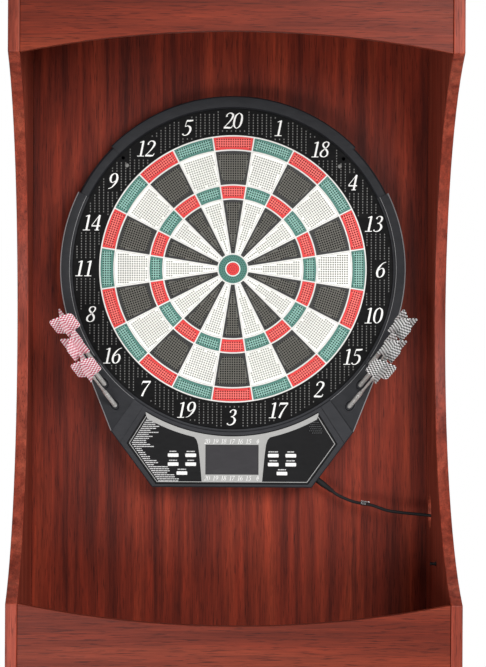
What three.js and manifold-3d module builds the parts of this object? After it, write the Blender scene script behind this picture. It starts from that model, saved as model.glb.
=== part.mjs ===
// A floor-standing dart cabinet with an electronic dartboard hung in its recess.
// Millimetres. X runs to the right, Y to the back and Z up.
// The origin is on the floor under the middle of the cabinet, without its power lead.
import * as THREE from "three";
import { mergeVertices } from "three/addons/utils/BufferGeometryUtils.js";
import Module from "manifold-3d";

const wasm = await Module();
wasm.setup();

const GAP = 0.3;
const DEGREE = Math.PI / 180;

// Cabinet
const INNER_WIDTH = 590;
const PANEL = 16;
const CABINET_HEIGHT = 2200;
const RECESS_DEPTH = 380;
const CUT_LOW = 1263;
const CUT_HIGH = 2013;
const CUT_RADIUS = 400;
const ARCH_RISE = 30;
const FRONT_SETBACK = 2;
const PANEL_BOTTOM = 14;
const RECESS_FLOOR_TOP = 1185;
const BASE_PANEL_TOP = 66;
const CABLE_HOLE = { y: 126, z: 1370, radius: 25 };
const PEG = { y: 18, z: 1302, radius: 3, length: 9 };
const PILOT = { radius: 2.5, depth: 13 };
const FOOT = { x: 262, y: 160, radius: 20, pad: 8, stem: 5 };

// Dartboard: X and Z are measured from the bull's-eye, and depths from the back panel's face.
// It hangs a little to the right of the cabinet's middle.
const BULL_X = 3.2;
const BULL_Z = 1727;
const BOARD_RADIUS = 255.7;
const WING_CORNER = new THREE.Vector2(180, -240);
const CHIN_CORNER = new THREE.Vector2(118, -323.2);
const BEZEL_FACE = 50;
const HOUSING_FRONT = 32;
const HOUSING_BACK = 4;
const SHELL = 3;
const HOUSING_WALL = 2.5;
const HOUSING_INSET = 1.5;
const CATCH_RADIUS = 237;
const CATCH_FACE = 45;
const PLATE = 3;
const SPIDER_FACE = 45.5;
const SPIDER_DEPTH = 8;
const WIRE = 2.5;
const SECTORS = 20;
const RINGS = { double: 197, outer: 176, triple: 124.3, inner: 103.6, bull: 22.2, eye: 9.6 };
const SEGMENT_FACE = 45;
const FLANGE = 1.5;
const SEGMENT_TRAVEL = 1;
const SHEET = 2;
const SENSOR = 1;

// Console
const CONSOLE_TOP_RADIUS = 246.5;
const CONSOLE_TOP = new THREE.Vector2(129, -216);
const CONSOLE_SIDE = new THREE.Vector2(155.5, -258.3);
const CONSOLE_FOOT = new THREE.Vector2(112.5, -318.2);
const CONSOLE_FACE = 48.5;
const DISPLAY = { width: 79, height: 44.6, z: -282.2 };
const DISPLAY_MODULE = { width: 74, height: 38, depth: 3.7 };
const CONTROL_BOARD = { z: -288, width: 200, height: 48, back: 39.4, front: 41 };
const BUTTON = { width: 16, height: 5.4, proud: 1.2, rim: 1.2 };
const BUTTON_GRID = { top: -275.9, middle: 74, pitchX: 26, pitchZ: 13.2 };
const SPEAKER = { x: 122, z: -238, radius: 15, depth: 10 };

// Darts: holes on the right wing, each mirrored on the left
const DART_HOLES = [
  new THREE.Vector2(205, -138),
  new THREE.Vector2(190, -170),
  new THREE.Vector2(174, -201.5),
];
const DART_ROLLS = { left: [-20, 45, -20], right: [45, 45, -20] };
const DART_AXIS = new THREE.Vector3(0.4, -0.731, 0.553).normalize();
const DART_HOLE_RADIUS = 5.2;
const DART = { point: -32, tip: -9, barrel: 38, shaft: 78, end: 118 };
const VANE = { reach: 18.5, thickness: 0.8 };

// Power lead
const CORD_RADIUS = 2.25;
const JACK = { along: 0.137, depth: 22, bore: 3.1 };
const PLUG = { barrel: 2.75, body: 4.5, bodyLength: 14, tail: 2.9, length: 30 };
const TIE = { at: 3, inner: 3.1, outer: 4.4, length: 8 };
const ADAPTER = { width: 44, length: 66, height: 30, reliefZ: 12, reliefLength: 20 };
const PIN = { length: 17, width: 6.4, thickness: 1.6, spacing: 13, fromEnd: 22 };

const DEPTH = RECESS_DEPTH + PANEL;
const FRONT = -DEPTH / 2;
const BACK_FACE = FRONT + RECESS_DEPTH;
const INSIDE = INNER_WIDTH / 2;
const OUTSIDE = INSIDE + PANEL;
const ARCH_RADIUS = (INSIDE ** 2 + ARCH_RISE ** 2) / (2 * ARCH_RISE);

const COLOURS = {
  laminate: { color: 0x7a3226, roughness: 0.45, metalness: 0 },
  back: { color: 0x57211a, roughness: 0.45, metalness: 0 },
  shell: { color: 0x2f3136, roughness: 0.55, metalness: 0 },
  black: { color: 0x141416, roughness: 0.5, metalness: 0 },
  white: { color: 0xf0f0ec, roughness: 0.4, metalness: 0 },
  segment: { color: 0xc8483f, roughness: 0.45, metalness: 0 },
  glass: { color: 0x1d1e22, roughness: 0.15, metalness: 0 },
  circuit: { color: 0x1f5a3a, roughness: 0.6, metalness: 0 },
  rubber: { color: 0x1a1a1a, roughness: 0.9, metalness: 0 },
  metal: { color: 0xa9abad, roughness: 0.3, metalness: 1 },
  flight: { color: 0xe8d6d8, roughness: 0.5, metalness: 0 },
};

const cabinet = new THREE.Group();

function addPart(name, geometry, look, parent = cabinet) {
  const mesh = new THREE.Mesh(geometry, new THREE.MeshStandardMaterial(COLOURS[look]));
  mesh.name = name;
  parent.add(mesh);
  return mesh;
}

// A closed geometry as a solid for cutting and joining.
function solidOf(geometry) {
  const bare = geometry.index ? geometry.toNonIndexed() : geometry.clone();
  bare.deleteAttribute("normal");
  bare.deleteAttribute("uv");
  const merged = mergeVertices(bare, 1e-4);
  const vertProperties = merged.attributes.position.array;
  const triVerts = new Uint32Array(merged.index.array);
  return new wasm.Manifold(new wasm.Mesh({ numProp: 3, vertProperties, triVerts }));
}

function geometryOf(solid) {
  const mesh = solid.getMesh();
  const geometry = new THREE.BufferGeometry();
  geometry.setAttribute("position", new THREE.BufferAttribute(mesh.vertProperties, 3));
  geometry.setIndex(new THREE.BufferAttribute(mesh.triVerts, 1));
  geometry.computeVertexNormals();
  return geometry;
}

function join(geometries) {
  return geometryOf(geometries.map(solidOf).reduce((sum, solid) => sum.add(solid)));
}

function cut(geometry, tools) {
  return geometryOf(tools.map(solidOf).reduce((rest, tool) => rest.subtract(tool), solidOf(geometry)));
}

function box(low, high) {
  const size = high.map((value, i) => value - low[i]);
  const middle = high.map((value, i) => (value + low[i]) / 2);
  return new THREE.BoxGeometry(...size).translate(...middle);
}

// A cylinder of the given radius from one point to another.
function rod(from, to, radius, sides = 12) {
  const along = new THREE.Vector3().subVectors(to, from);
  const geometry = new THREE.CylinderGeometry(radius, radius, along.length(), sides);
  geometry.translate(0, along.length() / 2, 0);
  return placeAlong(geometry, from, along.clone().normalize());
}

// Moves a geometry built on +Y so that it starts at a point and runs in a direction.
function placeAlong(geometry, start, direction, roll = 0) {
  const across = new THREE.Vector3().crossVectors(direction, new THREE.Vector3(0, 1, 0));
  if (across.length() < 1e-6) across.set(1, 0, 0);
  across.normalize();
  const third = new THREE.Vector3().crossVectors(across, direction);
  geometry.rotateY(roll);
  geometry.applyMatrix4(new THREE.Matrix4().makeBasis(across, direction, third));
  return geometry.translate(start.x, start.y, start.z);
}

// A closed turned shape: radii and distances along +Y.
function turned(profile, sides) {
  const points = profile.map(([radius, along]) => new THREE.Vector2(radius, along));
  return new THREE.LatheGeometry(points, sides);
}

function polygon(points) {
  return new THREE.Shape(points.map((point) => new THREE.Vector2(point.x, point.y)));
}

function annulus(inner, outer) {
  const shape = new THREE.Shape().absarc(0, 0, outer, 0, 2 * Math.PI, false);
  shape.holes.push(new THREE.Path().absarc(0, 0, inner, 0, 2 * Math.PI, true));
  return shape;
}

function disc(radius) {
  return new THREE.Shape().absarc(0, 0, radius, 0, 2 * Math.PI, false);
}

// An upright plate drawn in X and Z, from one Y to a smaller one.
function upright(shape, back, front, segments = 20) {
  const settings = { depth: back - front, bevelEnabled: false, curveSegments: segments };
  const geometry = new THREE.ExtrudeGeometry(shape, settings);
  return geometry.rotateX(Math.PI / 2).translate(0, back, 0);
}

// A plate of the dartboard: its depths are distances in front of the back panel.
function boardPlate(shape, near, far, segments = 20) {
  return upright(shape, BACK_FACE - near, BACK_FACE - far, segments).translate(BULL_X, 0, BULL_Z);
}

function boardPoint(point, depth) {
  return new THREE.Vector3(BULL_X + point.x, BACK_FACE - depth, BULL_Z + point.y);
}

function sidePanel(side) {
  const middle = (CUT_LOW + CUT_HIGH) / 2;
  const half = (CUT_HIGH - CUT_LOW) / 2;
  const centre = FRONT - Math.sqrt(CUT_RADIUS ** 2 - half ** 2);
  const angle = Math.asin(half / CUT_RADIUS);
  const shape = new THREE.Shape();
  shape.moveTo(FRONT, PANEL_BOTTOM);
  shape.lineTo(-FRONT, PANEL_BOTTOM);
  shape.lineTo(-FRONT, CABINET_HEIGHT);
  shape.lineTo(FRONT, CABINET_HEIGHT);
  shape.lineTo(FRONT, CUT_HIGH);
  shape.absarc(centre, middle, CUT_RADIUS, angle, -angle, true);
  shape.closePath();
  if (side > 0) {
    const { y, z, radius } = CABLE_HOLE;
    shape.holes.push(new THREE.Path().absarc(y, z, radius, 0, 2 * Math.PI, true));
  }
  const settings = { depth: PANEL, bevelEnabled: false, curveSegments: 14 };
  const geometry = new THREE.ExtrudeGeometry(shape, settings);
  const axes = [new THREE.Vector3(0, 1, 0), new THREE.Vector3(0, 0, 1), new THREE.Vector3(1, 0, 0)];
  geometry.applyMatrix4(new THREE.Matrix4().makeBasis(...axes));
  return geometry.translate(side > 0 ? INSIDE : -OUTSIDE, 0, 0);
}

// A front panel between two heights with one arched edge: rise is positive for an arch over the opening.
function archedPanel(straightEdge, archEnds, rise) {
  const half = INSIDE - GAP;
  const centre = archEnds + rise - Math.sign(rise) * ARCH_RADIUS;
  const way = Math.sign(rise);
  const angle = way * Math.asin(half / ARCH_RADIUS);
  const top = way * 90 * DEGREE;
  const shape = new THREE.Shape();
  shape.moveTo(half, straightEdge);
  shape.lineTo(-half, straightEdge);
  shape.absarc(0, centre, ARCH_RADIUS, top + angle, top - angle, rise > 0);
  shape.closePath();
  const front = FRONT + FRONT_SETBACK;
  return upright(shape, front + PANEL, front, 10);
}

function footShape(x, y) {
  const stemTop = BASE_PANEL_TOP - PANEL - GAP;
  const profile = [
    [0, 0],
    [FOOT.radius, 0],
    [FOOT.radius, FOOT.pad - 2],
    [FOOT.stem, FOOT.pad],
    [FOOT.stem, stemTop],
    [0, stemTop],
  ];
  return turned(profile, 16).rotateX(90 * DEGREE).translate(x, y, 0);
}

function hangerScrewPoints() {
  return [-1, 1].map((side) => new THREE.Vector2(side * 120, 140));
}

function makeCabinet() {
  const width = INSIDE - GAP;
  const behindFronts = FRONT + FRONT_SETBACK + PANEL + GAP;
  const pilotHoles = hangerScrewPoints().map((point) => {
    return rod(boardPoint(point, 1), boardPoint(point, -PILOT.depth), PILOT.radius);
  });
  const backPanel = box([-width, BACK_FACE, PANEL_BOTTOM], [width, -FRONT, CABINET_HEIGHT - PANEL - GAP]);
  addPart("side_panel_left", sidePanel(-1), "laminate");
  addPart("side_panel_right", sidePanel(1), "laminate");
  addPart("back_panel", cut(backPanel, pilotHoles), "back");
  const topLow = CABINET_HEIGHT - PANEL;
  addPart("top_panel", box([-width, behindFronts, topLow], [width, -FRONT, CABINET_HEIGHT]), "laminate");
  addPart("header_panel", archedPanel(CABINET_HEIGHT, CUT_HIGH, ARCH_RISE), "laminate");
  addPart("lower_front_panel", archedPanel(PANEL_BOTTOM, CUT_LOW, -ARCH_RISE), "laminate");
  const shelfBack = BACK_FACE - GAP;
  const shelves = { recess_floor: RECESS_FLOOR_TOP, base_panel: BASE_PANEL_TOP };
  for (const [name, top] of Object.entries(shelves)) {
    addPart(name, box([-width, behindFronts, top - PANEL], [width, shelfBack, top]), "laminate");
  }
  let number = 1;
  for (const y of [-FOOT.y, FOOT.y]) {
    for (const x of [-FOOT.x, FOOT.x]) {
      addPart(`levelling_foot_${number}`, footShape(x, y), "black");
      number += 1;
    }
  }
  const pegEnd = new THREE.Vector3(INSIDE - GAP, PEG.y, PEG.z);
  const pegTip = new THREE.Vector3(INSIDE - PEG.length, PEG.y, PEG.z);
  addPart("cord_peg", rod(pegEnd, pegTip, PEG.radius), "black");
}

// The corner of an outline whose two sides both move inwards.
function insetCorner(before, corner, after, inset) {
  const first = corner.clone().sub(before).normalize();
  const second = after.clone().sub(corner).normalize();
  const firstNormal = new THREE.Vector2(first.y, -first.x);
  const secondNormal = new THREE.Vector2(second.y, -second.x);
  const share = inset / (1 + firstNormal.dot(secondNormal));
  return corner.clone().addScaledVector(firstNormal.add(secondNormal), share);
}

const mirrored = (point) => new THREE.Vector2(-point.x, point.y);

// The angle at which the wing's straight side leaves the round top.
const TANGENT = Math.atan2(WING_CORNER.y, WING_CORNER.x) + Math.acos(BOARD_RADIUS / WING_CORNER.length());

function boardOutline(inset) {
  const radius = BOARD_RADIUS - inset;
  const leaves = new THREE.Vector2(Math.cos(TANGENT), Math.sin(TANGENT)).multiplyScalar(BOARD_RADIUS);
  const wing = insetCorner(leaves, WING_CORNER, CHIN_CORNER, inset);
  const chin = insetCorner(WING_CORNER, CHIN_CORNER, mirrored(CHIN_CORNER), inset);
  const shape = new THREE.Shape();
  shape.moveTo(chin.x, chin.y);
  shape.lineTo(wing.x, wing.y);
  shape.absarc(0, 0, radius, TANGENT, Math.PI - TANGENT, false);
  shape.lineTo(-wing.x, wing.y);
  shape.lineTo(-chin.x, chin.y);
  shape.closePath();
  return shape;
}

function consoleOutline(inset) {
  const side = insetCorner(CONSOLE_TOP, CONSOLE_SIDE, CONSOLE_FOOT, inset);
  const foot = insetCorner(CONSOLE_SIDE, CONSOLE_FOOT, mirrored(CONSOLE_FOOT), inset);
  const start = CONSOLE_TOP.clone().setLength(CONSOLE_TOP_RADIUS + inset);
  start.x -= inset;
  const angle = start.angle();
  const shape = new THREE.Shape();
  shape.moveTo(foot.x, foot.y);
  shape.lineTo(side.x, side.y);
  shape.absarc(0, 0, start.length(), angle, 3 * Math.PI - angle, true);
  shape.lineTo(-side.x, side.y);
  shape.lineTo(-foot.x, foot.y);
  shape.closePath();
  return shape;
}

function buttonPlaces() {
  const { top, middle, pitchX, pitchZ } = BUTTON_GRID;
  const places = [];
  for (const side of [-1, 1]) {
    for (const row of [0, 1]) {
      for (const column of [-0.5, 0.5]) {
        places.push(new THREE.Vector2(side * middle + column * pitchX, top - row * pitchZ));
      }
    }
    places.push(new THREE.Vector2(side * middle, top - 2 * pitchZ));
  }
  return places;
}

// A block of the board around a point: half sizes, then its two depths in front of the back panel.
function boardBlock(point, halfWidth, halfHeight, near, far) {
  const x = BULL_X + point.x;
  const z = BULL_Z + point.y;
  const low = [x - halfWidth, BACK_FACE - far, z - halfHeight];
  const high = [x + halfWidth, BACK_FACE - near, z + halfHeight];
  return box(low, high);
}

const dartAxis = (side) => new THREE.Vector3(side * DART_AXIS.x, DART_AXIS.y, DART_AXIS.z);
const dartHole = (side, hole) => boardPoint(new THREE.Vector2(side * hole.x, hole.y), BEZEL_FACE);

function makeShells() {
  const face = boardOutline(0);
  face.holes.push(new THREE.Path().absarc(0, 0, CATCH_RADIUS, 0, 2 * Math.PI, true));
  const pocket = boardOutline(SHELL);
  pocket.holes.push(new THREE.Path().absarc(0, 0, CATCH_RADIUS + SHELL, 0, 2 * Math.PI, true));
  const bezelTools = [
    boardPlate(pocket, HOUSING_FRONT - 1, BEZEL_FACE - SHELL),
    boardPlate(consoleOutline(0), HOUSING_FRONT - 1, BEZEL_FACE + 1),
  ];
  for (const side of [-1, 1]) {
    for (const hole of DART_HOLES) {
      const centre = dartHole(side, hole);
      const inside = centre.clone().addScaledVector(dartAxis(side), -8);
      const outside = centre.clone().addScaledVector(dartAxis(side), 12);
      bezelTools.push(rod(inside, outside, DART_HOLE_RADIUS));
    }
  }
  addPart("front_bezel", cut(boardPlate(face, HOUSING_FRONT + GAP, BEZEL_FACE), bezelTools), "shell");

  const floor = HOUSING_BACK + HOUSING_WALL;
  const tray = cut(boardPlate(boardOutline(HOUSING_INSET), HOUSING_BACK, HOUSING_FRONT), [
    boardPlate(boardOutline(HOUSING_INSET + HOUSING_WALL), floor, HOUSING_FRONT + 1),
  ]);
  const supportTop = HOUSING_FRONT - SENSOR - GAP;
  const supportRing = boardPlate(annulus(200, 200 + HOUSING_WALL), floor - 0.5, supportTop);
  const holes = hangerScrewPoints().map((point) => rod(boardPoint(point, 0), boardPoint(point, 10), 6));
  const { edge, normal } = jackFrame();
  const inner = edge.clone().addScaledVector(normal, -8);
  const outer = edge.clone().addScaledVector(normal, 4);
  const openings = [...holes, rod(inner, outer, JACK.bore)];
  addPart("rear_housing", cut(join([tray, supportRing]), openings), "shell");
}

function makeHangerScrews() {
  const profile = [
    [0, -12],
    [2.2, -12],
    [2.2, 6.8],
    [4.6, 6.8],
    [3.8, 9.6],
    [0, 10],
  ];
  hangerScrewPoints().forEach((point, i) => {
    const screw = placeAlong(turned(profile, 12), boardPoint(point, 0), new THREE.Vector3(0, -1, 0));
    addPart(`hanger_screw_${i + 1}`, screw, "metal");
  });
}

// The outline of one window of the spider, or of the segment that fills it with a margin.
function sectorPoints(inner, outer, index, margin) {
  const middle = (90 - (index * 360) / SECTORS) * DEGREE;
  const bar = WIRE / 2 + margin;
  const points = [];
  for (const [radius, turn] of [
    [outer - bar, 1],
    [inner + bar, -1],
  ]) {
    const half = (180 / SECTORS) * DEGREE - Math.asin(bar / radius);
    for (const share of [-1, 0, 1]) {
      const angle = middle + turn * share * half;
      points.push(new THREE.Vector2(Math.cos(angle), Math.sin(angle)).multiplyScalar(radius));
    }
  }
  return points;
}

const SECTOR_RINGS = [
  ["double", RINGS.outer, RINGS.double],
  ["outer_single", RINGS.triple, RINGS.outer],
  ["triple", RINGS.inner, RINGS.triple],
  ["inner_single", RINGS.bull, RINGS.inner],
];

function makeTarget() {
  const spider = disc(RINGS.double + WIRE / 2);
  for (const [, inner, outer] of SECTOR_RINGS) {
    for (let i = 0; i < SECTORS; i += 1) {
      spider.holes.push(new THREE.Path(sectorPoints(inner, outer, i, 0)));
    }
  }
  spider.holes.push(new THREE.Path().absarc(0, 0, RINGS.bull - WIRE / 2, 0, 2 * Math.PI, true));
  addPart("spider", boardPlate(spider, SPIDER_FACE - SPIDER_DEPTH, SPIDER_FACE), "white");

  const flangeTop = SPIDER_FACE - SPIDER_DEPTH - GAP;
  const flangeBack = flangeTop - FLANGE;
  for (const [name, inner, outer] of SECTOR_RINGS) {
    const pieces = [boardPlate(annulus(inner + 0.4, outer - 0.4), flangeBack, flangeTop)];
    for (let i = 0; i < SECTORS; i += 1) {
      const wedge = polygon(sectorPoints(inner, outer, i, GAP));
      pieces.push(boardPlate(wedge, flangeBack + 0.5, SEGMENT_FACE));
    }
    addPart(`segments_${name}`, join(pieces), "segment");
  }
  const eye = RINGS.eye;
  const bullEdge = RINGS.bull - WIRE / 2 - GAP;
  const bull = annulus(eye, bullEdge);
  const bullFlange = annulus(eye, RINGS.bull - 0.4);
  const outerBull = join([
    boardPlate(bullFlange, flangeBack, flangeTop, 10),
    boardPlate(bull, flangeBack + 0.5, SEGMENT_FACE, 10),
  ]);
  addPart("segment_outer_bull", outerBull, "segment");
  addPart("segment_inner_bull", boardPlate(disc(eye - GAP), flangeBack, SEGMENT_FACE, 10), "segment");

  const catchInner = RINGS.double + WIRE / 2 + GAP;
  const catchShape = annulus(catchInner, CATCH_RADIUS - GAP);
  addPart("catch_ring", boardPlate(catchShape, CATCH_FACE - PLATE, CATCH_FACE), "black");
  const sheetFront = flangeBack - SEGMENT_TRAVEL - GAP;
  addPart("rubber_sheet", boardPlate(disc(205), sheetFront - SHEET, sheetFront), "rubber");
  const sensorFront = sheetFront - SHEET - GAP;
  addPart("sensor_board", boardPlate(disc(208), sensorFront - SENSOR, sensorFront), "circuit");
}

function makeConsole() {
  const back = CONSOLE_FACE - PLATE;
  const middle = new THREE.Vector2(0, DISPLAY.z);
  const windows = buttonPlaces().map((place) =>
    boardBlock(place, BUTTON.width / 2 + GAP, BUTTON.height / 2 + GAP, back - 1, CONSOLE_FACE + 1),
  );
  const halfWidth = DISPLAY.width / 2;
  const halfHeight = DISPLAY.height / 2;
  windows.push(boardBlock(middle, halfWidth + GAP, halfHeight + GAP, back - 1, CONSOLE_FACE + 1));
  addPart("console_panel", cut(boardPlate(consoleOutline(GAP), back, CONSOLE_FACE, 8), windows), "black");
  addPart("display_lens", boardBlock(middle, halfWidth, halfHeight, back + GAP, CONSOLE_FACE + GAP), "glass");
  const { width, height, depth } = DISPLAY_MODULE;
  const moduleBack = back - GAP - depth;
  addPart("display_module", boardBlock(middle, width / 2, height / 2, moduleBack, back - GAP), "black");
  const board = CONTROL_BOARD;
  const boardMiddle = new THREE.Vector2(0, board.z);
  const boardSolid = boardBlock(boardMiddle, board.width / 2, board.height / 2, board.back, board.front);
  addPart("control_board", boardSolid, "circuit");
  const rim = BUTTON.rim;
  buttonPlaces().forEach((place, i) => {
    const capHalves = [BUTTON.width / 2, BUTTON.height / 2];
    const cap = boardBlock(place, ...capHalves, back - 0.8, CONSOLE_FACE + BUTTON.proud);
    const flange = boardBlock(place, capHalves[0] + rim, capHalves[1] + rim, back - 1.3, back - GAP);
    addPart(`button_${i + 1}`, join([cap, flange]), "white");
  });
  const cone = [
    [0, 0],
    [SPEAKER.radius * 0.6, 0],
    [SPEAKER.radius * 0.6, 5],
    [SPEAKER.radius, SPEAKER.depth - 2],
    [SPEAKER.radius, SPEAKER.depth],
    [0, SPEAKER.depth],
  ];
  const speakerPoint = boardPoint(new THREE.Vector2(SPEAKER.x, SPEAKER.z), back - SPEAKER.depth - 1);
  addPart("speaker", placeAlong(turned(cone, 16), speakerPoint, new THREE.Vector3(0, -1, 0)), "metal");
}

function dartBody() {
  const profile = [
    [0, DART.point],
    [0.8, DART.point],
    [1.6, DART.tip - 6],
    [2.6, DART.tip],
    [3.3, DART.tip + 4],
    [3.3, DART.barrel - 4],
    [2.4, DART.barrel],
    [2.4, DART.shaft],
    [0, DART.shaft],
  ];
  return turned(profile, 10);
}

// One flat pair of vanes, drawn in X and Y with Y along the dart.
function vanePair() {
  const { reach, thickness } = VANE;
  const start = DART.shaft + GAP;
  const half = [
    [2, start],
    [reach, start + 11],
    [reach, DART.end - 6],
    [reach - 6, DART.end],
  ];
  const right = half.map(([x, y]) => new THREE.Vector2(x, y));
  const left = right.map(mirrored).reverse();
  const shape = new THREE.Shape([...right, ...left]);
  const geometry = new THREE.ExtrudeGeometry(shape, { depth: thickness, bevelEnabled: false });
  return geometry.translate(0, 0, -thickness / 2);
}

function makeDarts() {
  for (const [sideName, side] of [
    ["left", -1],
    ["right", 1],
  ]) {
    DART_HOLES.forEach((hole, i) => {
      const start = dartHole(side, hole);
      const axis = dartAxis(side);
      const roll = -side * DART_ROLLS[sideName][i] * DEGREE;
      const flight = join([vanePair(), vanePair().rotateY(90 * DEGREE)]);
      addPart(`dart_${sideName}_${i + 1}`, placeAlong(dartBody(), start, axis), "metal");
      addPart(`flight_${sideName}_${i + 1}`, placeAlong(flight, start, axis, roll), "flight");
    });
  }
}

// Where the lead's plug enters the lower right side of the board, and the way it points.
function jackFrame() {
  const edgePoint = CHIN_CORNER.clone().lerp(WING_CORNER, JACK.along);
  const side = WING_CORNER.clone().sub(CHIN_CORNER).normalize();
  const normal = new THREE.Vector3(side.y, 0, -side.x);
  return { edge: boardPoint(edgePoint, JACK.depth), normal };
}

// The lead's route from the plug's tail: to the cable hole, down outside the cabinet and along the floor.
const ROUTE = [
  [170, 157, 1387.8],
  [182.6, 154, 1383],
  [190.4, 151, 1381.2],
  [199, 147.5, 1379.9],
  [210.4, 144, 1378.1],
  [220.5, 141, 1374.8],
  [233.4, 138, 1370.6],
  [250.4, 135, 1368.2],
  [272.3, 131, 1366.2],
  [288, 128, 1365],
  [299, 126.6, 1363.4],
  [308, 126, 1359.4],
  [314.2, 126, 1352],
  [316.6, 126, 1341],
  [316.4, 126, 1310],
  [315.6, 126, 1100],
  [315.6, 126, 800],
  [315.6, 126, 500],
  [315.6, 126, 200],
  [315.8, 126, 90],
  [318, 124.5, 52],
  [324, 120.5, 24],
  [335, 112, 7.5],
  [351, 103, 2.6],
  [374, 86, 2.6],
  [391, 60, 2.6],
  [400, 28, 2.6],
  [402, -4, 2.6],
  [397, -36, 2.6],
  [388, -62, 2.6],
  [378, -81, 3.2],
  [371.5, -97, 7],
  [369.3, -109, 10.8],
  [369, -117, 12],
  [369, -125, 12],
];

function makeLead() {
  const { edge, normal } = jackFrame();
  const plugProfile = [
    [0, -14],
    [PLUG.barrel, -14],
    [PLUG.barrel, -HOUSING_INSET + GAP],
    [PLUG.body, -HOUSING_INSET + GAP],
    [PLUG.body, PLUG.bodyLength],
    [PLUG.tail, PLUG.length],
    [0, PLUG.length],
  ];
  addPart("power_plug", placeAlong(turned(plugProfile, 12), edge, normal), "rubber");

  const socketFront = edge.clone().addScaledVector(normal, -HOUSING_INSET - HOUSING_WALL - GAP);
  const socketBlock = new THREE.BoxGeometry(11, 14, 10).translate(0, -7, 0);
  const socketHole = new THREE.CylinderGeometry(JACK.bore, JACK.bore, 12, 12).translate(0, -5, 0);
  addPart("power_socket", placeAlong(cut(socketBlock, [socketHole]), socketFront, normal), "black");

  const start = edge.clone().addScaledVector(normal, PLUG.length + GAP);
  const next = edge.clone().addScaledVector(normal, PLUG.length + 7);
  const places = ROUTE.map((point) => new THREE.Vector3(...point));
  const route = new THREE.CatmullRomCurve3([start, next, ...places]);
  const section = new THREE.Shape().absarc(0, 0, CORD_RADIUS, 0, 2 * Math.PI, false);
  const settings = { steps: 80, extrudePath: route, curveSegments: 4 };
  addPart("power_cord", new THREE.ExtrudeGeometry(section, settings), "rubber");

  const tieWay = places[TIE.at + 1].clone().sub(places[TIE.at - 1]).normalize();
  const tieProfile = [
    [TIE.inner, -TIE.length / 2],
    [TIE.outer, -TIE.length / 2],
    [TIE.outer, TIE.length / 2],
    [TIE.inner, TIE.length / 2],
    [TIE.inner, -TIE.length / 2],
  ];
  addPart("cord_tie", placeAlong(turned(tieProfile, 10), places[TIE.at], tieWay), "rubber");

  const [endX, endY] = ROUTE[ROUTE.length - 1];
  const { width, length, height, reliefZ, reliefLength } = ADAPTER;
  const reliefStart = endY - GAP;
  const caseFront = reliefStart - reliefLength;
  const reliefProfile = [
    [0, 0],
    [PLUG.tail, 0],
    [4.5, reliefLength + 1],
    [0, reliefLength + 1],
  ];
  const reliefPoint = new THREE.Vector3(endX, reliefStart, reliefZ);
  const relief = placeAlong(turned(reliefProfile, 10), reliefPoint, new THREE.Vector3(0, -1, 0));
  const body = box([endX - width / 2, caseFront - length, GAP], [endX + width / 2, caseFront, height]);
  const pinX = endX + width / 2;
  const pins = [-1, 1].map((side) => {
    const pinY = caseFront - length + PIN.fromEnd + side * PIN.spacing / 2;
    const low = [pinX - 1, pinY - PIN.thickness / 2, (height - PIN.width) / 2];
    return box(low, [pinX + PIN.length, pinY + PIN.thickness / 2, (height + PIN.width) / 2]);
  });
  addPart("wall_adapter", join([body, relief, ...pins]), "black");
}

makeCabinet();
makeShells();
makeHangerScrews();
makeTarget();
makeConsole();
makeDarts();
makeLead();

export default cabinet;
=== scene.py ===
import math
import random

import bmesh
import bpy
from mathutils import Matrix, Vector
from mathutils.geometry import delaunay_2d_cdt


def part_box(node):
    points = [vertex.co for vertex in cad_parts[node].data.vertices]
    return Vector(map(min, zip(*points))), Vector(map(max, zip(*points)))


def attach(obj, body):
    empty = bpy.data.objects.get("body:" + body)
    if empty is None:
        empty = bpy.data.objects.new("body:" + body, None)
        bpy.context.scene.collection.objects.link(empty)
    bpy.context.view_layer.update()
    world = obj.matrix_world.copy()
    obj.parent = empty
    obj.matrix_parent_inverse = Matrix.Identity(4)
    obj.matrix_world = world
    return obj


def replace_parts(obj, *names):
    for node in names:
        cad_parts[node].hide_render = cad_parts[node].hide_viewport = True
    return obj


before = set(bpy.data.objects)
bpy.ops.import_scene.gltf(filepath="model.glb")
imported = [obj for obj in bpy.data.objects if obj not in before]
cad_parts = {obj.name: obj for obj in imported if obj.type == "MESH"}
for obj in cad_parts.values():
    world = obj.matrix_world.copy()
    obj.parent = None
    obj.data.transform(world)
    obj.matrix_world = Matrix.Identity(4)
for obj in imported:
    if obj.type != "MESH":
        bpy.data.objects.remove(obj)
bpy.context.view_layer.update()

# Sizes are in millimetres. MM turns them into Blender's metres when a mesh is made.
MM = 0.001
GAP = 0.3

# Where the dartboard hangs: X and Z are measured from the bull's-eye, and depth from the back panel's face.
BACK_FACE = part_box("back_panel")[0].y / MM
BULL_LOW, BULL_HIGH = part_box("segment_inner_bull")
BULL_X = (BULL_LOW.x + BULL_HIGH.x) / 2 / MM
BULL_Z = (BULL_LOW.z + BULL_HIGH.z) / 2 / MM
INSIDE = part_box("side_panel_right")[0].x / MM
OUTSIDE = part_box("side_panel_right")[1].x / MM
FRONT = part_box("side_panel_right")[0].y / MM


def board(x, z, depth):
    return (BULL_X + x, BACK_FACE - depth, BULL_Z + z)


# ---------------------------------------------------------------- meshes


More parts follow.
